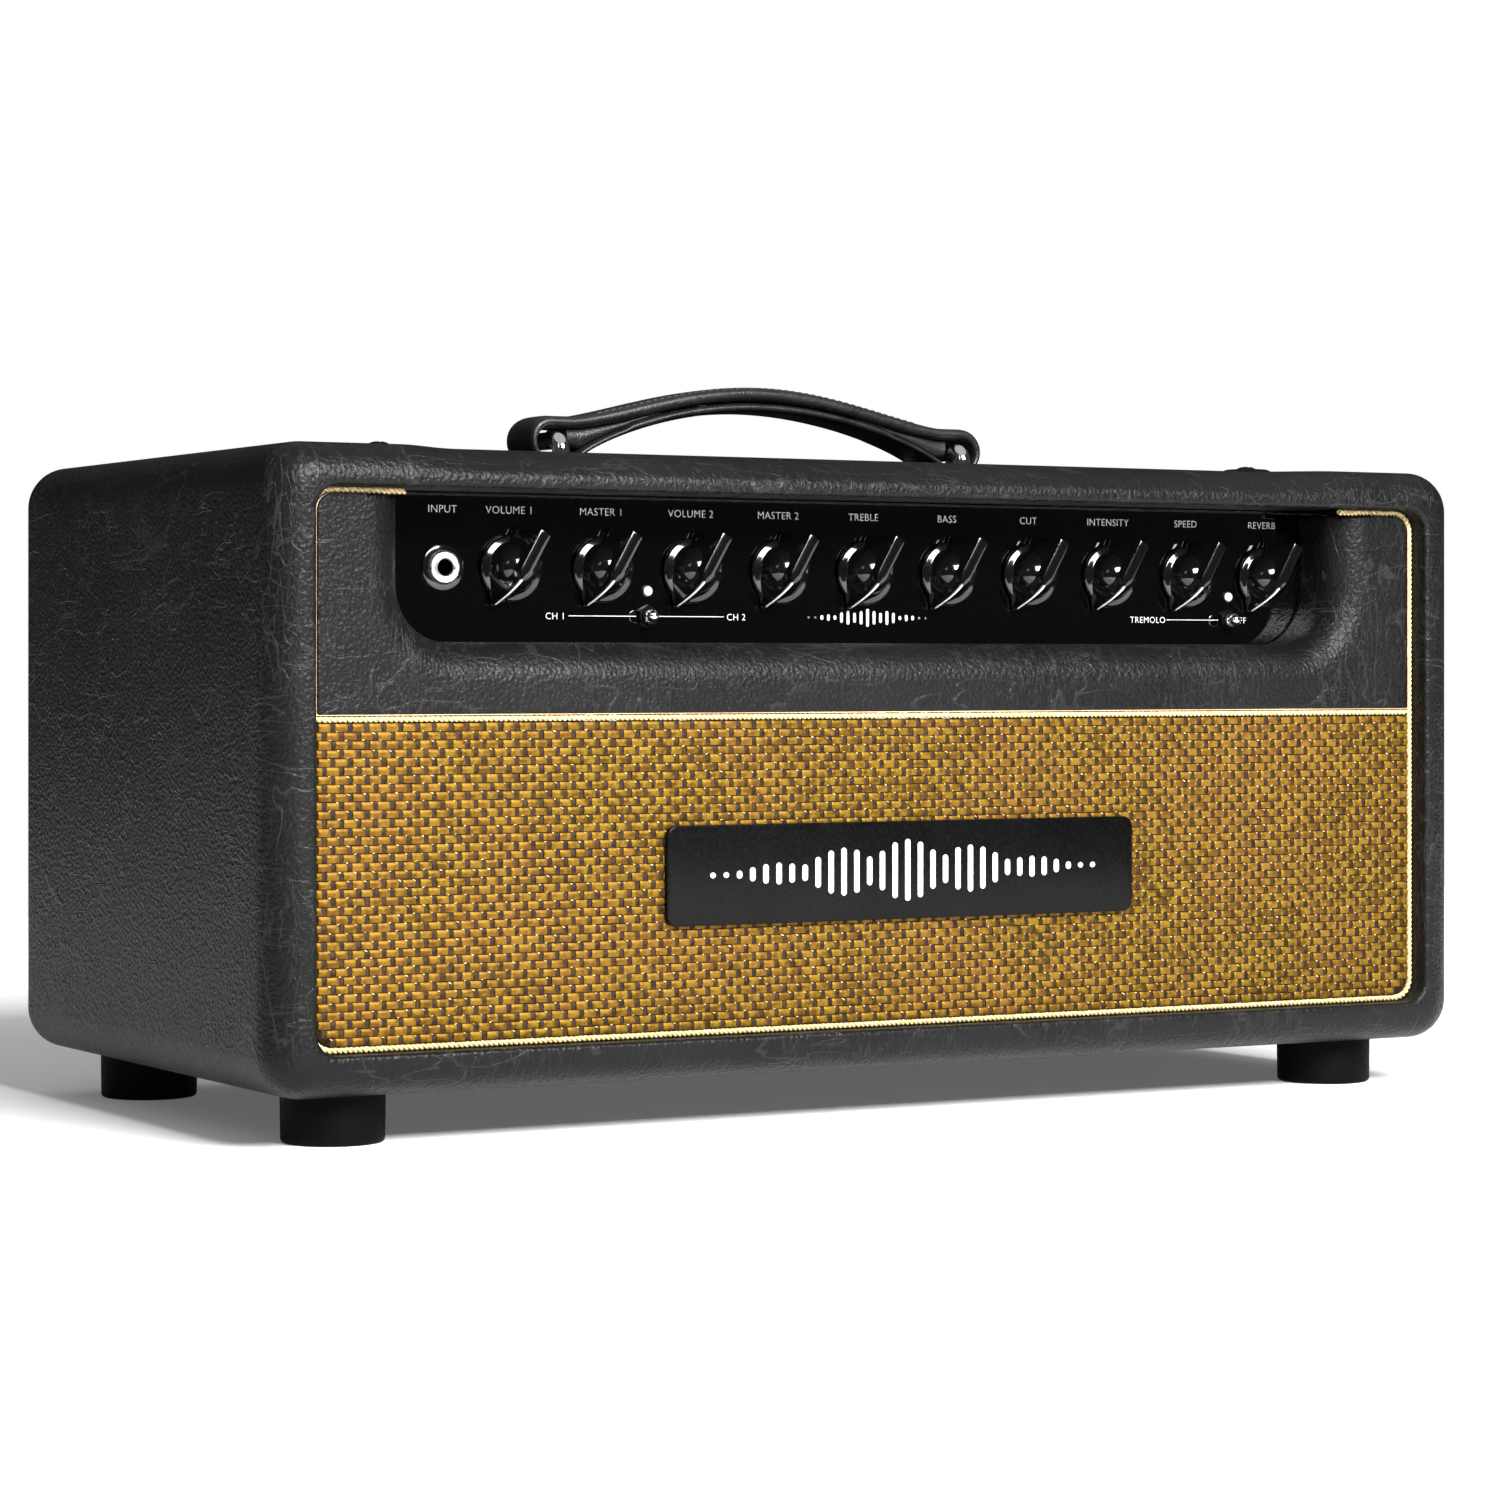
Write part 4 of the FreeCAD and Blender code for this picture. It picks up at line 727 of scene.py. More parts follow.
def cloth_backing():
    """The dark weft seen between the threads, its lower corners and its edges round."""
    shape = Shape()
    face, reach = CLOTH_LOW.y, CLOTH_HIGH.x
    rows = []
    for inset, y in ((0.0, CLOTH_HIGH.y), (0.0, face + 2 * CLOTH_EDGE),
                     (CLOTH_EDGE * 0.3, face + CLOTH_EDGE * 1.3), (CLOTH_EDGE, face + CLOTH_EDGE)):
        ring = [(side * (reach - inset), CLOTH_HIGH.z - inset) for side in (1, -1)]
        for side, first in ((-1, 180), (1, 270)):
            ring += arc(side * (reach - OUTER_CORNER), CLOTH_LOW.z + OUTER_CORNER,
                        OUTER_CORNER - inset, first, 90, 8)
        rows.append(at_depth(ring, y))
    shape.grid(rows, close_columns=True)
    shape.faces.append(tuple(range(len(shape.points) - len(ring), len(shape.points))))
    return shape


def woven_patch(shape, left, right, middle, tall, lean, steps, ribs, relief):
    """A patch of ribbed warp threads that swells in its middle; relief is one of those above."""
    rest, lift, fall, rib_lift, end = relief
    rows = []
    for v in (i / steps for i in range(steps + 1)):
        swell = math.sin(math.pi * mix(end, 1 - end, v))
        row = []
        for u in (k / (2 * ribs) for k in range(2 * ribs + 1)):
            rib = 0.5 - 0.5 * math.cos(math.tau * u * ribs)
            edge = 1 - min(u, 1 - u, PATCH_EDGE) / PATCH_EDGE
            depth = rest - swell * (lift * (1 - fall * edge) + rib_lift * rib)
            row.append((mix(left, right, u) + lean * (v - 0.5) * 2, CLOTH_LOW.y + depth * MM,
                        middle + tall * (v - 0.5)))
        rows.append(row)
    shape.grid(rows)


def make_grille_cloth():
    """Basket weave: groups of gold warp threads over a dark weft, each row offset by half."""
    face = CLOTH_LOW.y
    width, height = CLOTH_HIGH.x - CLOTH_LOW.x, CLOTH_HIGH.z - CLOTH_LOW.z
    pitch_x, pitch_z = width / COLUMNS, height / ROWS
    cloth = piece("cloth_backing", cloth_backing(), WEFT, replaces=["grille_cloth"],
                  crease=60, thickness=CLOTH_SKIN)
    dice = random.Random(SEED)
    gold, brown, glints = Shape(), Shape(), Shape()
    for row in range(ROWS):
        middle = CLOTH_LOW.z + pitch_z * (row + 0.5)
        shift = pitch_x / 2 if row % 2 else 0.0
        rise = max(CLOTH_LOW.z + OUTER_CORNER - middle + pitch_z / 2, 0.0)
        reach = (CLOTH_HIGH.x - OUTER_CORNER + math.sqrt(max(OUTER_CORNER ** 2 - rise ** 2, 0.0))
                 - 0.3 * MM)
        for column in range(COLUMNS + (row % 2)):
            centre = CLOTH_LOW.x + pitch_x * (column + 0.5) - shift
            centre += dice.uniform(-UNEVEN, UNEVEN)
            wide = pitch_x * GROUP_WIDTH * dice.uniform(0.94, 1.04)
            tall = pitch_z * GROUP_HEIGHT * dice.uniform(0.88, 1.04)
            lean = dice.uniform(-UNEVEN, UNEVEN)
            left, right = max(centre - wide / 2, -reach), min(centre + wide / 2, reach)
            if right - left > LEAST_GROUP:
                woven_patch(gold, left, right, middle, tall, lean, steps=4, ribs=4,
                            relief=GOLD_RELIEF)
            gap_right = min(right + pitch_x - wide, reach)
            if gap_right - right > LEAST_GAP:
                woven_patch(brown, right, gap_right, middle, pitch_z * GAP_HEIGHT, 0.0, steps=3,
                            ribs=2, relief=BROWN_RELIEF)
            # painted highlights: small pale specks between the rows stand for glints of light on the
            # dark weft
            if dice.random() < GLINT_SHARE and abs(centre) < CLOTH_HIGH.x - 4 * MM and row:
                start = Vector((centre - wide * dice.uniform(0.28, 0.5), face + 0.62 * MM,
                                middle - pitch_z * dice.uniform(0.46, 0.56)))
                long = dice.uniform(0.8, 1.7) * MM
                slope = dice.choice((-0.45, -0.3, 0.35)) + dice.uniform(-0.1, 0.1)
                end = start + Vector((long, 0, long * slope))
                side = Vector((0.07 * MM, 0, 0.2 * MM))
                mid = (start + end) / 2 - Vector((0, 0.28 * MM, 0))
                glints.add([start, mid + side, end, mid - side], [(0, 1, 2), (0, 2, 3)])
    threads = [piece("gold_warp", gold, GOLD, crease=80),
               piece("brown_warp", brown, BROWN, crease=80),
               piece("cream_threads", glints, GLINT_HIGHLIGHT, crease=80)]


PIPE_RADIUS = 1.4 * MM
PIPE_SETBACK = 1.2 * MM
PIPE_TURN = 8.0 * MM
TWIST = 4.2 * MM
STRAND = 0.74 * MM
STRAND_OFFSET = 0.62 * MM


def twisted_cord(shape, chain):
    """Two strands wound round a chain of points in the XZ plane."""
    path = resampled(chain, TWIST / 9)
    spans = [0.0]
    for a, b in zip(path, path[1:]):
        spans.append(spans[-1] + (b - a).length)
    back = Vector((0, 1, 0))
    for start in (0.0, math.pi):
        line = []
        for i, point in enumerate(path):
            across = back.cross(direction(path, i))
            angle = start + math.tau * spans[i] / TWIST
            line.append(point + STRAND_OFFSET * (across * math.cos(angle) + back * math.sin(angle)))
        shape.tube(line, STRAND, 6)


def make_piping():
    """Twisted cord in the gap round the baffle, and a straight run across it."""
    y = centre_of("front_piping").y + PIPE_SETBACK
    inset = PIPE_RADIUS + 0.05 * MM
    low, high = OPENING_LOW + inset + PIPE_TURN, OPENING_HIGH - inset - PIPE_TURN
    reach, end = OPENING_X - inset - PIPE_TURN, CUTOUT_X + 1.0 * MM
    route = [(-end, high + PIPE_TURN), (-reach, high + PIPE_TURN)]
    for x, z, first in ((-reach, high, 90), (-reach, low, 180), (reach, low, 270), (reach, high, 0)):
        route += arc(x, z, PIPE_TURN, first, 90, 10)
    route.append((end, high + PIPE_TURN))
    shape = Shape()
    twisted_cord(shape, [Vector(point) for point in at_depth(route, y)])
    level = (BAFFLE_LOW.z + CLOTH_HIGH.z) / 2
    twisted_cord(shape, [Vector((BAFFLE_LOW.x, y, level)), Vector((BAFFLE_HIGH.x, y, level))])
    piece("twisted_piping", shape, PIPING, replaces=["front_piping"], crease=80)


def rounded_plate(shape, low, high, corner, bevel, place=None):
    """A plate facing -Y with round corners and a rounded front edge."""
    (x0, y0, z0), (x1, y1, z1) = low, high
    edge = [(0.0, y1), (0.0, y0 + bevel)]
    edge += bend(bevel, y0 + bevel, -bevel, -bevel, (22, 45, 67, 90))
    rows = []
    for inset, y in edge:
        ring = []
        for x, z, first in ((x1 - corner, z1 - corner, 0), (x0 + corner, z1 - corner, 90),
                            (x0 + corner, z0 + corner, 180), (x1 - corner, z0 + corner, 270)):
            ring += arc(x, z, corner - inset, first, 90, 8)
        rows.append(at_depth(ring, y))
    shape.grid(rows, place, close_columns=True, caps=True)


def bars_across(shape, x, z, face, width, height, count):
    """Upright round-ended bars whose heights swell and fall twice."""
    half = width / count * 0.22
    for i in range(count):
        share = i / (count - 1) * 2 - 1
        swell = math.exp(-2.2 * share * share) * (0.42 + 0.58 * abs(math.cos(share * 8.6)))
        rise = max(height * swell, height * 0.09) / 2 - half
        ring = [(x + share * width / 2 + u, z + (rise if v > 0 else -rise) + v)
                for u, v in circle(half, 16, 0.5)]
        shape.grid([at_depth(ring, face + 0.1 * MM), at_depth(ring, face - 0.12 * MM)],
                   close_columns=True, caps=True)


def make_name_plate():
    """A blank plate with a plain motif of upright bars, like a sound wave."""
    plate, bars = Shape(), Shape()
    rounded_plate(plate, PLATE_LOW, PLATE_HIGH, corner=4.5 * MM, bevel=0.6 * MM)
    piece("plate_body", plate, PLATE, replaces=["name_plate"], crease=50)
    centre = centre_of("name_plate")
    bars_across(bars, centre.x, centre.z, PLATE_LOW.y, width=180 * MM, height=25 * MM, count=31)
    piece("plate_motif", bars, PRINT, crease=50)


# ---------------------------------------------------------------- printed legends

CAPITAL = 0.73
THINNER = -0.014
LABEL_CAP = 3.1 * MM
SWITCH_CAP = 2.8 * MM
REAR_CAP = 3.4 * MM
LABEL_RISE = 22.9 * MM
LINE_HALF = 0.12 * MM
REAR_LINE_HALF = 0.2 * MM
REAR_LINE_DROP = 10.8 * MM


def add_text(shape, words, x, y, z, cap, towards=-1):
    """Plain capitals as thin raised print, facing -Y or +Y."""
    curve = bpy.data.curves.new("words", "FONT")
    curve.body = words
    curve.align_x = "CENTER"
    curve.offset = THINNER
    curve.space_character = 1.06
    curve.extrude = 0.01
    curve.resolution_u = 3
    holder = bpy.data.objects.new("words", curve)
    bpy.context.scene.collection.objects.link(holder)
    mesh = bpy.data.meshes.new_from_object(holder)
    scale = cap / CAPITAL
    points = [(x - towards * vertex.co.x * scale, y + towards * (0.03 + vertex.co.z * 4) * MM,
               z + (vertex.co.y - CAPITAL / 2) * scale) for vertex in mesh.vertices]
    shape.add(points, [tuple(face.vertices) for face in mesh.polygons])
    bpy.data.objects.remove(holder)
    bpy.data.curves.remove(curve)
    bpy.data.meshes.remove(mesh)


def make_legends():
    """Plain control words, switch lines and a small motif on the control panel."""
    shape = Shape()
    level = JOINT_AT["volume_1_turn"].z + LABEL_RISE
    for knob in KNOBS:
        words = knob.replace("_", " ").upper()
        add_text(shape, words, JOINT_AT[knob + "_turn"].x, PANEL_FACE, level, LABEL_CAP)
    add_text(shape, "INPUT", centre_of("input_jack").x, PANEL_FACE, level, LABEL_CAP)
    row = JOINT_AT["channel_flip"].z
    channel, tremolo = JOINT_AT["channel_flip"].x, JOINT_AT["tremolo_flip"].x
    for switch, start, end in ((channel, -35, -5), (channel, 5, 35), (tremolo, -32, -5)):
        shape.box((switch + start * MM, PANEL_FACE - 0.05 * MM, row - LINE_HALF),
                  (switch + end * MM, PANEL_FACE + 0.02 * MM, row + LINE_HALF))
    for words, switch, shift in (("CH 1", channel, -40.9), ("CH 2", channel, 40.7),
                                 ("TREMOLO", tremolo, -41.8), ("OFF", tremolo, 6.6)):
        add_text(shape, words, switch + shift * MM, PANEL_FACE, row, SWITCH_CAP)
    bars_across(shape, 0, row, PANEL_FACE, width=56 * MM, height=7.3 * MM, count=19)
    piece("panel_print", shape, PRINT, crease=50)


# ---------------------------------------------------------------- controls

PANEL_OUT = (0, -1, 0)
KNOB_REST = 150
KNOB_GAP = 0.6 * MM
LEVER_LEAN = 12.5
POINTER_TIP = 16.6
RIDGE_TOP = 16.0
RIDGE_END = 5.0
RIDGE_FALL = 12.4
TAIL_REACH = 15.9
BLADE_HALF = 9.3
CROWN_HALF = 1.9
NOSE_HALF = 0.42


def ridge_height(y):
    """The height in millimetres of the knob's ridge, level as far as the hub and then a beak."""
    run = max(y - RIDGE_END, 0.0) / (POINTER_TIP - RIDGE_END)
    return RIDGE_TOP - RIDGE_FALL * run ** 1.6


def blade_section(y):
    """The blade across the pointer at y, in millimetres: up one flank and down the other."""
    top = ridge_height(y)
    flat = mix(CROWN_HALF, NOSE_HALF, ease((y - 1.5) / 4.5))
    edge = flat + 0.4
    if y > 0:
        base = min(BLADE_HALF, (POINTER_TIP + 0.6 - y) * 0.83)
    else:
        base = mix(BLADE_HALF, 7.2, ease(-y / 9.0))
    hollow = mix(1.45, 1.15, ease((y - 5.0) / 8.0))
    half = [(base * 0.97, 0.5), (base, 1.3)]
    half += [(edge + (base - edge) * (1 - step / 7) ** hollow, mix(1.3, top - 0.42, step / 7))
             for step in range(1, 8)]
    half += [(flat + 0.2, top - 0.36), (flat, top - 0.28), (flat * 0.6, top - 0.12),
             (flat * 0.25, top - 0.02), (0.0, top)]
    return half + [(-x, z) for x, z in reversed(half)]


def knob_shape():
    """A pointer knob about Z, its pointer along +Y: skirt, domed hub and a flat-ridged blade."""
    shape = Shape()
    skirt = [(0, 0.3), (12.6, 0.3), (13.1, 0.6), (13.25, 1.1), (13.1, 1.7), (12.4, 2.1), (10.6, 2.35),
             (9.95, 2.7), (9.6, 3.3)]
    shape.lathe(skirt + bend(0, 2.6, 9.7, 9.9, range(10, 91, 8)), segments=64)
    rows = []
    for scale, reach, drop in ((0.0, 0.0, 0.36), (0.5, 0.0, 0.36), (0.94, 0.0, 0.36),
                               (0.985, 0.12, 0.1), (1.0, 0.4, 0.0)):
        rows.append([(x * scale, -math.sqrt((TAIL_REACH - reach) ** 2 - (x * scale) ** 2),
                      min(z, RIDGE_TOP - drop)) for x, z in blade_section(-TAIL_REACH)])
    for y in [-13.0, -10.5, -8.0, -6.0, -4.0, -2.0, 0.0, 1.5] + [2.1 + 0.58 * i for i in range(26)]:
        rows.append(at_depth(blade_section(y), y))
    last = rows[-1]
    for scale, ahead in ((0.8, 0.15), (0.4, 0.28), (0.0, 0.32)):
        rows.append([(x * scale, POINTER_TIP + ahead, 2.0 + (z - 2.0) * scale) for x, y, z in last])
    return shape.grid(in_millimetres(rows), close_columns=True)


def pointer_line():
    """The painted ridge from the hub down to the pointer's tip."""
    rows = []
    for i in range(21):
        y = mix(5.4, POINTER_TIP, i / 20)
        low, high = ridge_height(y) - 0.4, ridge_height(y) + 0.06
        half = mix(NOSE_HALF, 0.36, i / 20) * (1 - 0.5 * (i in (0, 20)))
        rows.append([(-half, y, low), (-half * 0.8, y, high), (half * 0.8, y, high), (half, y, low)])
    return Shape().grid(in_millimetres(rows), close_columns=True, caps=True)


def make_knobs():
    moulded, painted = knob_shape(), pointer_line()
    for knob in KNOBS:
        at = JOINT_AT[knob + "_turn"]
        place = facing((at.x, PANEL_FACE - KNOB_GAP, at.z), PANEL_OUT)
        place = place @ Matrix.Rotation(math.radians(KNOB_REST), 4, "Z")
        body = knob + "_control"
        piece("pointer_" + knob, Shape().add(moulded.points, moulded.faces, place), KNOB, body,
              ["knob_" + knob], crease=55)
        piece("mark_" + knob, Shape().add(painted.points, painted.faces, place), PRINT, body,
              (), crease=55)


def hexagon_nut(shape, place, across, height, bore):
    """A hexagonal nut in millimetres, with chamfered corners and an open bore."""
    big = across / math.sqrt(3)
    chamfer = (big - across / 2) * 0.75
    rows = []
    for cut, z in ((chamfer, 0.0), (0.0, chamfer * 0.6), (0.0, height - chamfer * 0.6),
                   (chamfer, height)):
        ring = []
        for x, y in circle(1.0, 36):
            sector = (math.atan2(y, x) + math.pi / 6) % (math.pi / 3) - math.pi / 6
            reach = min(across / 2 / math.cos(sector), big - cut)
            ring.append((x * reach, y * reach, z))
        rows.append(ring)
    for radius, z in ((bore + 0.5, height), (bore, height - 0.5), (bore, 0.0)):
        rows.append([(x, y, z) for x, y in circle(radius, 36)])
    shape.grid(in_millimetres(rows), place, close_rows=True, close_columns=True)


def make_input_jack():
    """A round-shouldered chromed nut on the socket's bushing, over a black flange."""
    centre = centre_of("input_jack")
    place = facing((centre.x, PANEL_FACE, centre.z), PANEL_OUT)
    socket = Shape().lathe([(3.2, -23.0), (8.5, -23.0), (8.5, -3.6), (4.7, -3.5), (4.7, 0.0),
                            (8.6, 0.02), (8.85, 0.3), (8.8, 0.8), (8.3, 1.0), (4.75, 1.0), (4.7, 2.3),
                            (3.2, 2.3)], place)
    nut = Shape().lathe([(4.75, 1.02), (6.6, 1.02), (6.75, 1.3), (6.65, 1.9), (6.4, 2.5), (6.05, 2.95),
                         (5.65, 3.18), (5.25, 3.2), (4.95, 3.05), (4.75, 2.7)], place)
    bush = Shape().lathe([(3.25, 2.4), (4.72, 2.4), (4.7, 2.9), (4.5, 3.3), (4.15, 3.55), (3.8, 3.5),
                          (3.5, 3.2), (3.3, 2.8)], place)
    piece("socket_body", socket, KNOB, replaces=["input_jack"])
    piece("socket_nut", nut, SATIN_CHROME, replaces=["input_jack_nut"])
    piece("socket_bushing", bush, SATIN_CHROME)


def make_lamps():
    """A small dome of milky plastic in each black bezel."""
    lenses, bezels = Shape(), Shape()
    dome = bend(0, 0.7, 1.9, 1.5, range(0, 91, 10))
    for name in ("channel_flip", "tremolo_flip"):
        place = facing((JOINT_AT[name].x, PANEL_FACE, centre_of("indicator_lamps").z), PANEL_OUT)
        bezels.lathe([(1.95, -7.0), (2.9, -7.0), (2.9, -3.6), (2.45, -3.5), (2.45, 0.6), (2.3, 0.85),
                      (2.05, 0.9), (1.95, 0.8)], place, 32)
        lenses.lathe([(0, -6.0), (1.9, -6.0)] + dome, place, 32)
    piece("lamp_lenses", lenses, LAMP, replaces=["indicator_lamps"])
    piece("lamp_bezels", bezels, MOULDED)


def bat_lever(name, along, ball, neck, tip, length):
    """A switch's bat lever in millimetres, from its pivot ball to a round tip."""
    profile = [(0, -ball)] + bend(0, 0, ball, ball, range(-78, 60, 12))
    profile += [(mix(neck, tip, ease(i / 10) * 0.6 + 0.4 * i / 10),
                 mix(ball * 0.9, length - tip, i / 10)) for i in range(11)]
    profile += bend(0, length - tip, tip, tip, range(12, 91, 13))
    shape = Shape().lathe(profile, facing(JOINT_AT[name + "_flip"], along), 32)
    piece(name + "_bat", shape, CHROME, name + "_switch", [name + "_toggle"])


def make_levers():
    """Bat levers at rest: the front pair leans left, the rear pair leans down."""
    lean = math.radians(LEVER_LEAN)
    nuts = Shape()
    for name in ("channel", "tremolo"):
        bat_lever(name, (-math.sin(lean), -math.cos(lean), 0), ball=1.9, neck=1.0, tip=2.5, length=9.5)
        at = JOINT_AT[name + "_flip"]
        place = facing((at.x, PANEL_FACE, at.z), PANEL_OUT)
        hexagon_nut(nuts, place, across=8.0, height=1.6, bore=3.05)
    piece("small_switch_nuts", nuts, BLACK_STEEL)
    for name in ("mains", "standby"):
        bat_lever(name, (0, math.cos(lean), -math.sin(lean)), ball=4.0, neck=1.9, tip=3.4, length=20.0)


# ---------------------------------------------------------------- handle

STRAP_HALF = 12.7 * MM
HANDLE_X = 100.5 * MM
LOOP = 10.1 * MM
LOOP_LEVEL = 10.4 * MM
THIN = 1.6 * MM
FULL = 2.7 * MM
PADDED = 3.3 * MM
INNER_PADDED = 2.1 * MM
ARCH_REACH = 90 * MM
ARCH_LEVEL = 20.5 * MM
ARCH_RISE = 15 * MM
INNER_LEVEL = 0.3 * MM
INNER_RISE = 24.2 * MM
SEAM_INSET = 2.6 * MM
STITCH = 3.4 * MM
ARCH_POINTS = 73


def outer_layer(x):
    """The strap's arched outer layer above the cabinet: its middle height and half thickness."""
    lift = math.cos(math.pi / 2 * min(abs(x) / ARCH_REACH, 1)) ** 1.3
    half = mix(PADDED, FULL, ease((abs(x) / HANDLE_X - 0.6) / 0.4))
    return ARCH_LEVEL + ARCH_RISE * lift - half, half


def inner_layer(x):
    """The returning layer under it, padded in the middle; the right half sags less."""
    reach = mix(89 * MM, 92 * MM, ease(x / (60 * MM)))
    lift = max(math.cos(math.pi / 2 * min(abs(x) / reach, 1)), 0) ** 0.7
    half = mix(INNER_PADDED, THIN, ease((abs(x) - 63 * MM) / (1.5 * MM)))
    return INNER_LEVEL + INNER_RISE * lift + half, half


def strap_loop(side, first):
    """Half a turn round a staple's bar, thinner underneath."""
    points = []
    for i in range(1, 15):
        angle = math.radians(first - 12.4 * i)
        half = mix(THIN, FULL, 0.5 + 0.5 * math.sin(angle))
        reach = LOOP - half
        points.append((side * HANDLE_X + reach * math.cos(angle),
                       LOOP_LEVEL + reach * math.sin(angle), half))
    return points


def pulled_right(x):
    """The strap's right half reaches a little further out than its left."""
    return x + 2.0 * MM * ease(x / HANDLE_X)


def strap_route():
    """The strap's closed centre line: over the arch, round a loop, back underneath, round again.

    Each item is a point in X and Z above the cabinet, and the half thickness there.
    """
    over = [mix(-HANDLE_X, HANDLE_X, i / (ARCH_POINTS - 1)) for i in range(ARCH_POINTS)]
    under = [mix(0.96 * HANDLE_X, -0.9 * HANDLE_X, i / 66) for i in range(67)]
    route = [(x, *outer_layer(x)) for x in over] + strap_loop(1, 90)
    route += [(x, *inner_layer(x)) for x in under] + strap_loop(-1, 270)
    return [(pulled_right(x), z, half) for x, z, half in route]


def strap_fill(shape, side):
    """The strap's folded end, sewn in between its two layers as far as the staple's bar."""
    reach = STRAP_HALF - 2.2 * MM
    rows = []
    for i in range(17):
        x = side * mix(48 * MM, 92.5 * MM, i / 16)
        over, over_half = outer_layer(x)
        under, under_half = inner_layer(x)
        top = over - over_half + 0.5 * MM
        bottom = max(under + under_half - 0.5 * MM, mix(0.0, 7.5 * MM, ease((i - 8) / 8)))
        bottom = min(bottom, top - 0.4 * MM)
        middle, half = TOP + (top + bottom) / 2, (top - bottom) / 2
        rows.append([(pulled_right(x), reach * signed_power(u, 0.35),
                      middle + half * signed_power(v, 0.6)) for u, v in circle(1.0, 16)])
    shape.grid(rows, close_columns=True, caps=True)


def make_handle():
    """A padded leather strap, crowned across its width, with a sewn edge."""
    route = strap_route()
    rows, seams = [], {1: [], -1: []}
    for i, (x, z, half) in enumerate(route):
        before, after = route[i - 1], route[(i + 1) % len(route)]
        along = Vector((after[0] - before[0], 0, after[1] - before[1])).normalized()
        out = Vector((-along.z, 0, along.x))
        centre = Vector((x, 0, z + TOP))
        rows.append([centre + Vector((0, STRAP_HALF * signed_power(u, 0.45), 0))
                     + out * half * signed_power(v, 0.75) for u, v in circle(1.0, 28)])
        if i < ARCH_POINTS and abs(x) < 80 * MM:
            for way, seam in seams.items():
                seam.append(centre + Vector((0, way * (STRAP_HALF - SEAM_INSET), 0))
                            + out * half * 0.78)
    shape = Shape().grid(rows, close_rows=True, close_columns=True)
    for side in (1, -1):
        strap_fill(shape, side)
    piece("leather_strap", shape, LEATHER, "handle", ["handle_strap"], crease=70)
    thread = Shape()
    rise = Vector((0, 0, 0.22 * MM))
    for seam in seams.values():
        holes = resampled(seam, STITCH)
        for a, b in zip(holes, holes[1:]):
            start, end = a.lerp(b, 0.12), a.lerp(b, 0.88)
            thread.tube([start - rise, start.lerp(end, 0.2) + rise, start.lerp(end, 0.8) + rise,
                         end - rise], 0.3 * MM, 6)
    piece("strap_stitches", thread, THREAD, "handle", (), crease=80)


POST_X = 98.8 * MM
POST_Y = 17.0 * MM
ROD = 3.75 * MM
STAPLE_RISE = 13.7 * MM
ELBOW = 4.5 * MM
FOOT_ROUND = 3.7
FOOT_HALF = 8.9
FOOT_TALL = 1.6


def dome_screw(shape, place, radius, height):
    """A domed head in millimetres, with a cross recess sunk in it."""
    rings = 9
    rows = [[(x, y, 0) for x, y in circle(radius, 32)]]
    for share in (i / rings for i in range(rings + 1)):
        size = max(radius * math.cos(math.pi / 2 * share), radius * 0.04)
        row = []
        for x, y in circle(size, 32):
            z = height * math.sin(math.pi / 2 * share)
            if min(abs(x), abs(y)) < radius * 0.13 and max(abs(x), abs(y)) < radius * 0.55:
                z -= height * 0.55
            row.append((x, y, z))
        rows.append(row)
    shape.grid(in_millimetres(rows), place, close_columns=True, caps=True)


def make_brackets():
    """Chromed staples: a bar on two posts, each post on a small screwed foot."""
    staples, screws = Shape(), Shape()
    level = TOP + STAPLE_RISE - ROD - ELBOW
    hoop = [(-POST_Y, TOP)] + arc(ELBOW - POST_Y, level, ELBOW, 180, -90, 9)
    hoop += arc(POST_Y - ELBOW, level, ELBOW, 90, -90, 9) + [(POST_Y, TOP)]
    for side in (-1, 1):
        staples.tube([(side * POST_X, y, z) for y, z in hoop], ROD, 28)
        for way in (-1, 1):
            place = Matrix.Translation((side * POST_X, way * POST_Y, TOP))
            foot = []
            for inset, z in ((0.0, 0.0), (0.0, 1.1), (0.12, 1.4), (0.45, FOOT_TALL)):
                ring = arc(FOOT_HALF, 0, FOOT_ROUND - inset, -90, 180, 12)
                ring += arc(-FOOT_HALF, 0, FOOT_ROUND - inset, 90, 180, 12)
                foot.append([(x, y, z) for x, y in ring])
            staples.grid(in_millimetres(foot), place, close_columns=True, caps=True)
            for step in (-8.5, 8.5):
                dome_screw(screws, place @ Matrix.Translation((step * MM, 0, FOOT_TALL * MM)),
                           radius=3.3, height=2.2)
    piece("chrome_staples", staples, CHROME, replaces=["handle_brackets"], crease=40)
    piece("staple_screws", screws, CHROME, replaces=["handle_screws"], crease=35)


BOLT_X = 209 * MM
BOLT_Y = 77 * MM


def make_top_bolts():
    """Four black bolts, each in a dished washer."""
    washers, bolts = Shape(), Shape()
    for place in (Matrix.Translation((x, y, TOP)) for x in (-BOLT_X, BOLT_X) for y in (-BOLT_Y, BOLT_Y)):
        washers.lathe([(2.6, 0.05), (11.5, 0.05), (11.45, 0.5), (11.0, 1.1), (10.0, 1.7), (8.8, 2.1),
                       (7.4, 2.2), (6.4, 2.0), (5.8, 1.4), (5.5, 1.15), (2.6, 1.1)], place, 56)
        dome_screw(bolts, place @ Matrix.Translation((0, 0, 1.15 * MM)), radius=5.0, height=2.4)
        bolts.lathe([(0, -26), (2.5, -26), (2.5, 1.3), (0, 1.3)], place, 24)
    piece("dished_washers", washers, BLACK_STEEL, replaces=["cup_washers"])
    piece("chassis_bolt_heads", bolts, BLACK_STEEL, replaces=["chassis_bolts"])


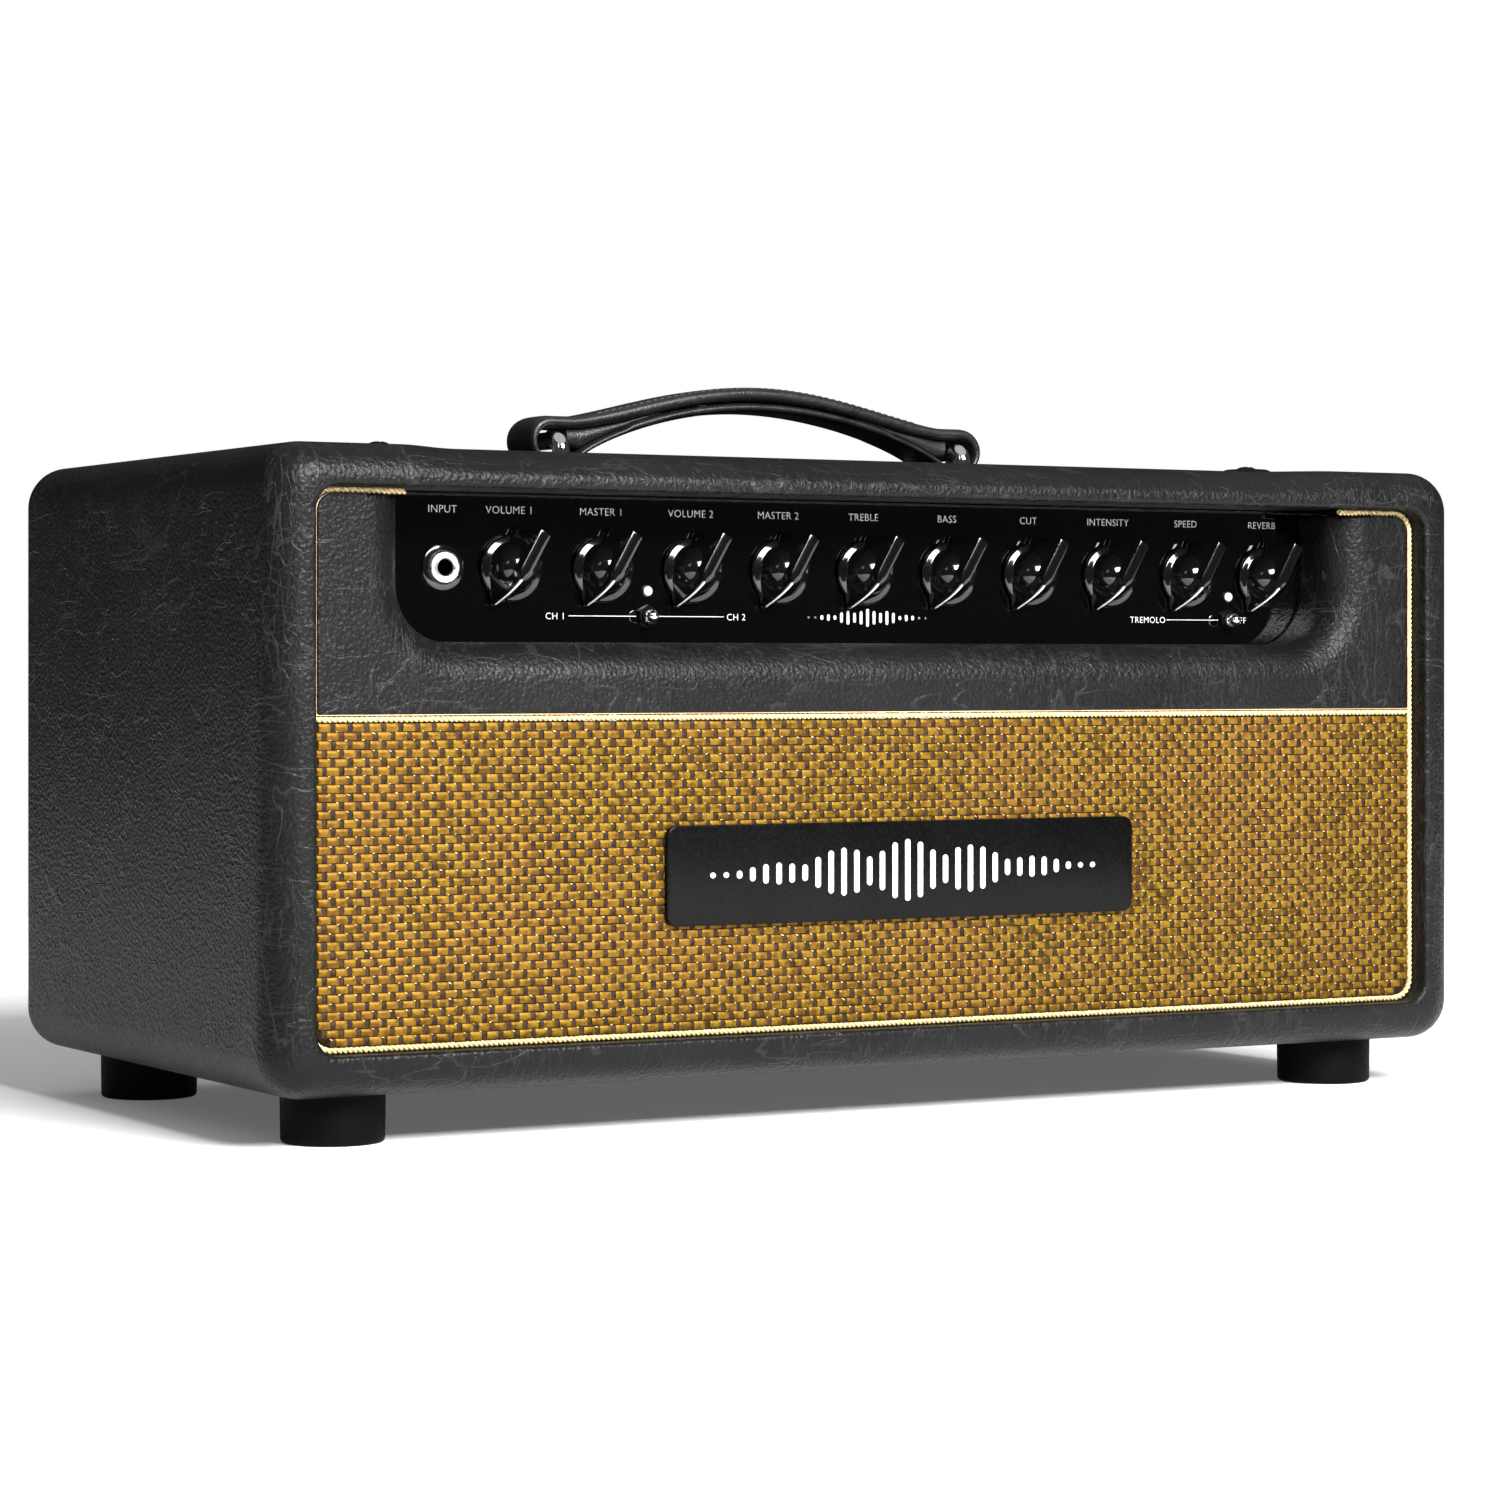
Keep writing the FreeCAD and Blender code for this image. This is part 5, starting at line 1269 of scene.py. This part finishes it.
def make_feet():
    """Moulded rubber feet: a straight side, a soft shoulder and a recess for the screw."""
    corner = span("rubber_feet")[1]
    radius, tall = 20.25, BASE / MM
    profile = [(2.6, tall), (19.6, tall), (20.1, tall - 0.4), (radius, tall - 1.2),
               (radius, tall - 4), (20.2, tall * 0.5), (20.1, 3.0)]
    profile += bend(18.4, 1.8, 1.7, -1.8, range(0, 91, 15))
    profile += [(8.4, 0.0), (8.0, 0.5), (8.0, 11.0), (2.6, 11.0)]
    x, y = corner.x - radius * MM, corner.y - radius * MM
    shape = Shape()
    for place in (Matrix.Translation((sx * x, sy * y, 0)) for sx in (-1, 1) for sy in (-1, 1)):
        shape.lathe(profile, place, 72)
    piece("moulded_feet", shape, RUBBER, replaces=["rubber_feet"], crease=35)


# ---------------------------------------------------------------- the back

def make_back_board():
    """The covered lower back board, its edges softly rounded."""
    low, high = span("back_panel")
    shape = Shape()
    rounded_plate(shape, (low.x, -high.y, low.z), (high.x, -low.y, high.z), corner=3.0 * MM,
                  bevel=1.8 * MM, place=Matrix.Rotation(math.pi, 4, "Z"))
    piece("covered_back_board", shape, VINYL, replaces=["back_panel"],
          crease=50)


def make_rear_legends():
    """Plain words and lines beside the rear sockets and switches."""
    shape = Shape()
    face = span("rear_plate")[1].y
    level = centre_of("rear_jacks").z
    for x, words, rise in (
            (200, "MAINS", 16.5), (160, "FUSE", 16.5), (126, "POWER", 16.5), (94, "STANDBY", 16.5),
            (46, "4", 12.5), (16, "8", 12.5), (-14, "16", 12.5), (-74, "SEND", 12.5),
            (-104, "RETURN", 12.5), (-164, "FOOTSWITCH", 12.5), (16, "SPEAKERS", -14.5),
            (-89, "LOOP", -14.5)):
        add_text(shape, words, x * MM, face, level + rise * MM, REAR_CAP, towards=1)
    z = level - REAR_LINE_DROP
    for start, end in ((-30, 62), (-118, -60)):
        shape.box((start * MM, face - 0.02 * MM, z - REAR_LINE_HALF),
                  (end * MM, face + 0.06 * MM, z + REAR_LINE_HALF))
    piece("rear_print", shape, PRINT, crease=50)


# ---------------------------------------------------------------- the valves

def disc(shape, level, radius, thick, place, segments):
    """A flat disc in millimetres."""
    shape.lathe([(0, level), (radius, level), (radius, level + thick), (0, level + thick)],
                place, segments)


def valve_bulbs(node, name, count, radius, length):
    """Blown bulbs with a sealed tip, and inside each an anode, its mica rings and a getter."""
    low, high = span(node)
    y = (low.y + high.y) / 2
    bulbs, works, flash = Shape(), Shape(), Shape()
    shoulder = length - radius * 0.9
    wall = [(0, 0.1), (radius * 0.9, 0.2), (radius * 0.99, 2), (radius, 4), (radius, shoulder)]
    wall += [(mix(2.2, radius, math.cos(math.radians(a)) ** 0.7),
              shoulder + radius * 0.8 * math.sin(math.radians(a))) for a in range(10, 86, 10)]
    wall += [(1.6, length + 0.2), (0.9, length + 1.4), (0, length + 1.9)]
    top, bottom = length * 0.74, length * 0.16
    for i in range(count):
        x = mix(low.x + radius * MM, high.x - radius * MM, i / (count - 1))
        place = Matrix.Translation((x, y, high.z)) @ Matrix.Rotation(math.pi, 4, "X")
        bulbs.lathe(wall, place, 40)
        works.lathe([(0, bottom), (radius * 0.45, bottom), (radius * 0.47, top), (0, top)], place, 8)
        for level in (bottom, top):
            disc(works, level, radius * 0.82, 0.5, place, 24)
        disc(flash, length * 0.8, radius * 0.4, 0.6, place, 20)
    piece(name + "_bulbs", bulbs, GLASS, replaces=[node], crease=60)
    piece(name + "_electrodes", works, STEEL, crease=40)
    piece(name + "_getters", flash, CHROME, crease=40)


# ---------------------------------------------------------------- camera, light and floor

CAMERA_AT = (-0.874, -1.5435, 0.1823)
CAMERA_TURN = -29.56
LENS = 98.59
SENSOR = 36.0
LENS_SHIFT = -0.0563

FLOOR_TONES = ((0.91, 0.91, 0.91), (0.93, 0.93, 0.93))
FLOOR_GLOW = 0.11
FLOOR_FAR_GLOW = 0.65
FLOOR_FADE = (0.38, 0.95)
FLOOR_REACH = 1.3

WHITE = (1, 1, 1, 1)
ROOM_LIGHT = 0.05
SKY_LIGHT = 0.8
SKY_ANGLE = 100
SOFT_BOXES = [
    ("key", (0.05, -2.0, 1.35), (0, 0, 0.15), (1.1, 0.8), 170),
    ("left_card", (-1.6, -1.1, 1.2), (0, 0, 0.2), (0.4, 0.7), 2.2),
]


def link(name, data):
    item = bpy.data.objects.new(name, data)
    bpy.context.scene.collection.objects.link(item)
    return item


def make_camera():
    camera = bpy.data.cameras.new("camera")
    camera.lens = LENS
    camera.sensor_width = SENSOR
    camera.shift_y = LENS_SHIFT
    camera.clip_end = 50.0
    eye = link("camera", camera)
    eye.location = CAMERA_AT
    eye.rotation_euler = (math.radians(90), 0, math.radians(CAMERA_TURN))
    bpy.context.scene.camera = eye


def make_floor():
    """A pale floor with a weak glow that grows away from the origin; the glow is painted light, which
    lightens the cast shadow by the cabinet and fades the shadow out further off.
    """
    paint = Paint("pale_floor", (0.92, 0.92, 0.92), 0.6, Emission_Strength=1.0)
    away = paint.node("VectorMath", operation="LENGTH")
    paint.put(away.inputs[0], paint.coordinates)
    # painted light: a faint glow near the cabinet lifts its shadow, and a stronger glow further off
    # hides the shadow there
    glow = paint.ramp(away.outputs["Value"], *FLOOR_FADE)
    paint.set(paint.shader,
              Emission_Color=paint.blend(glow, (FLOOR_GLOW,) * 3, (FLOOR_FAR_GLOW,) * 3))
    paint.tones(*FLOOR_TONES, 3.0)
    mesh = bpy.data.meshes.new("floor")
    corners = [(x * FLOOR_REACH, y * FLOOR_REACH, 0) for x, y in ((-1, -1), (1, -1), (1, 1), (-1, 1))]
    mesh.from_pydata(corners, [], [(0, 1, 2, 3)])
    mesh.materials.append(paint.material)
    link("floor", mesh)


def make_world():
    """A white backdrop for the camera, and a dim room for everything else."""
    world = bpy.data.worlds.new("studio")
    world.use_nodes = True
    tree = world.node_tree
    room = tree.nodes["Background"]
    backdrop = tree.nodes.new("ShaderNodeBackground")
    for background, strength in ((room, ROOM_LIGHT), (backdrop, 1.0)):
        background.inputs["Color"].default_value = WHITE
        background.inputs["Strength"].default_value = strength
    rays = tree.nodes.new("ShaderNodeLightPath")
    either = tree.nodes.new("ShaderNodeMixShader")
    tree.links.new(rays.outputs["Is Camera Ray"], either.inputs["Fac"])
    tree.links.new(room.outputs["Background"], either.inputs[1])
    tree.links.new(backdrop.outputs["Background"], either.inputs[2])
    tree.links.new(either.outputs["Shader"], tree.nodes["World Output"].inputs["Surface"])
    bpy.context.scene.world = world
    bpy.context.scene.view_settings.view_transform = "Standard"


def make_lights():
    """A wide soft sun overhead, a large soft box in front and a weak one at the left."""
    sky = bpy.data.lights.new("sky", "SUN")
    sky.energy = SKY_LIGHT
    sky.angle = math.radians(SKY_ANGLE)
    link("sky", sky)
    for name, at, towards, size, power in SOFT_BOXES:
        light = bpy.data.lights.new(name, "AREA")
        light.shape = "RECTANGLE"
        light.size, light.size_y = size
        light.energy = power
        lamp = link(name, light)
        lamp.location = at
        lamp.rotation_euler = (Vector(towards) - Vector(at)).to_track_quat("-Z", "Y").to_euler()


# ---------------------------------------------------------------- build

def main():
    make_camera()
    make_world()
    make_lights()
    make_floor()
    dress_nodes()
    make_shell()
    make_surround()
    make_grille_cloth()
    make_piping()
    make_name_plate()
    make_legends()
    make_knobs()
    make_input_jack()
    make_lamps()
    make_levers()
    make_handle()
    make_brackets()
    make_top_bolts()
    make_feet()
    make_back_board()
    make_rear_legends()
    valve_bulbs("preamp_valves", "preamp", count=6, radius=10.6, length=48)
    valve_bulbs("power_valves", "power", count=4, radius=10.6, length=71)


main()
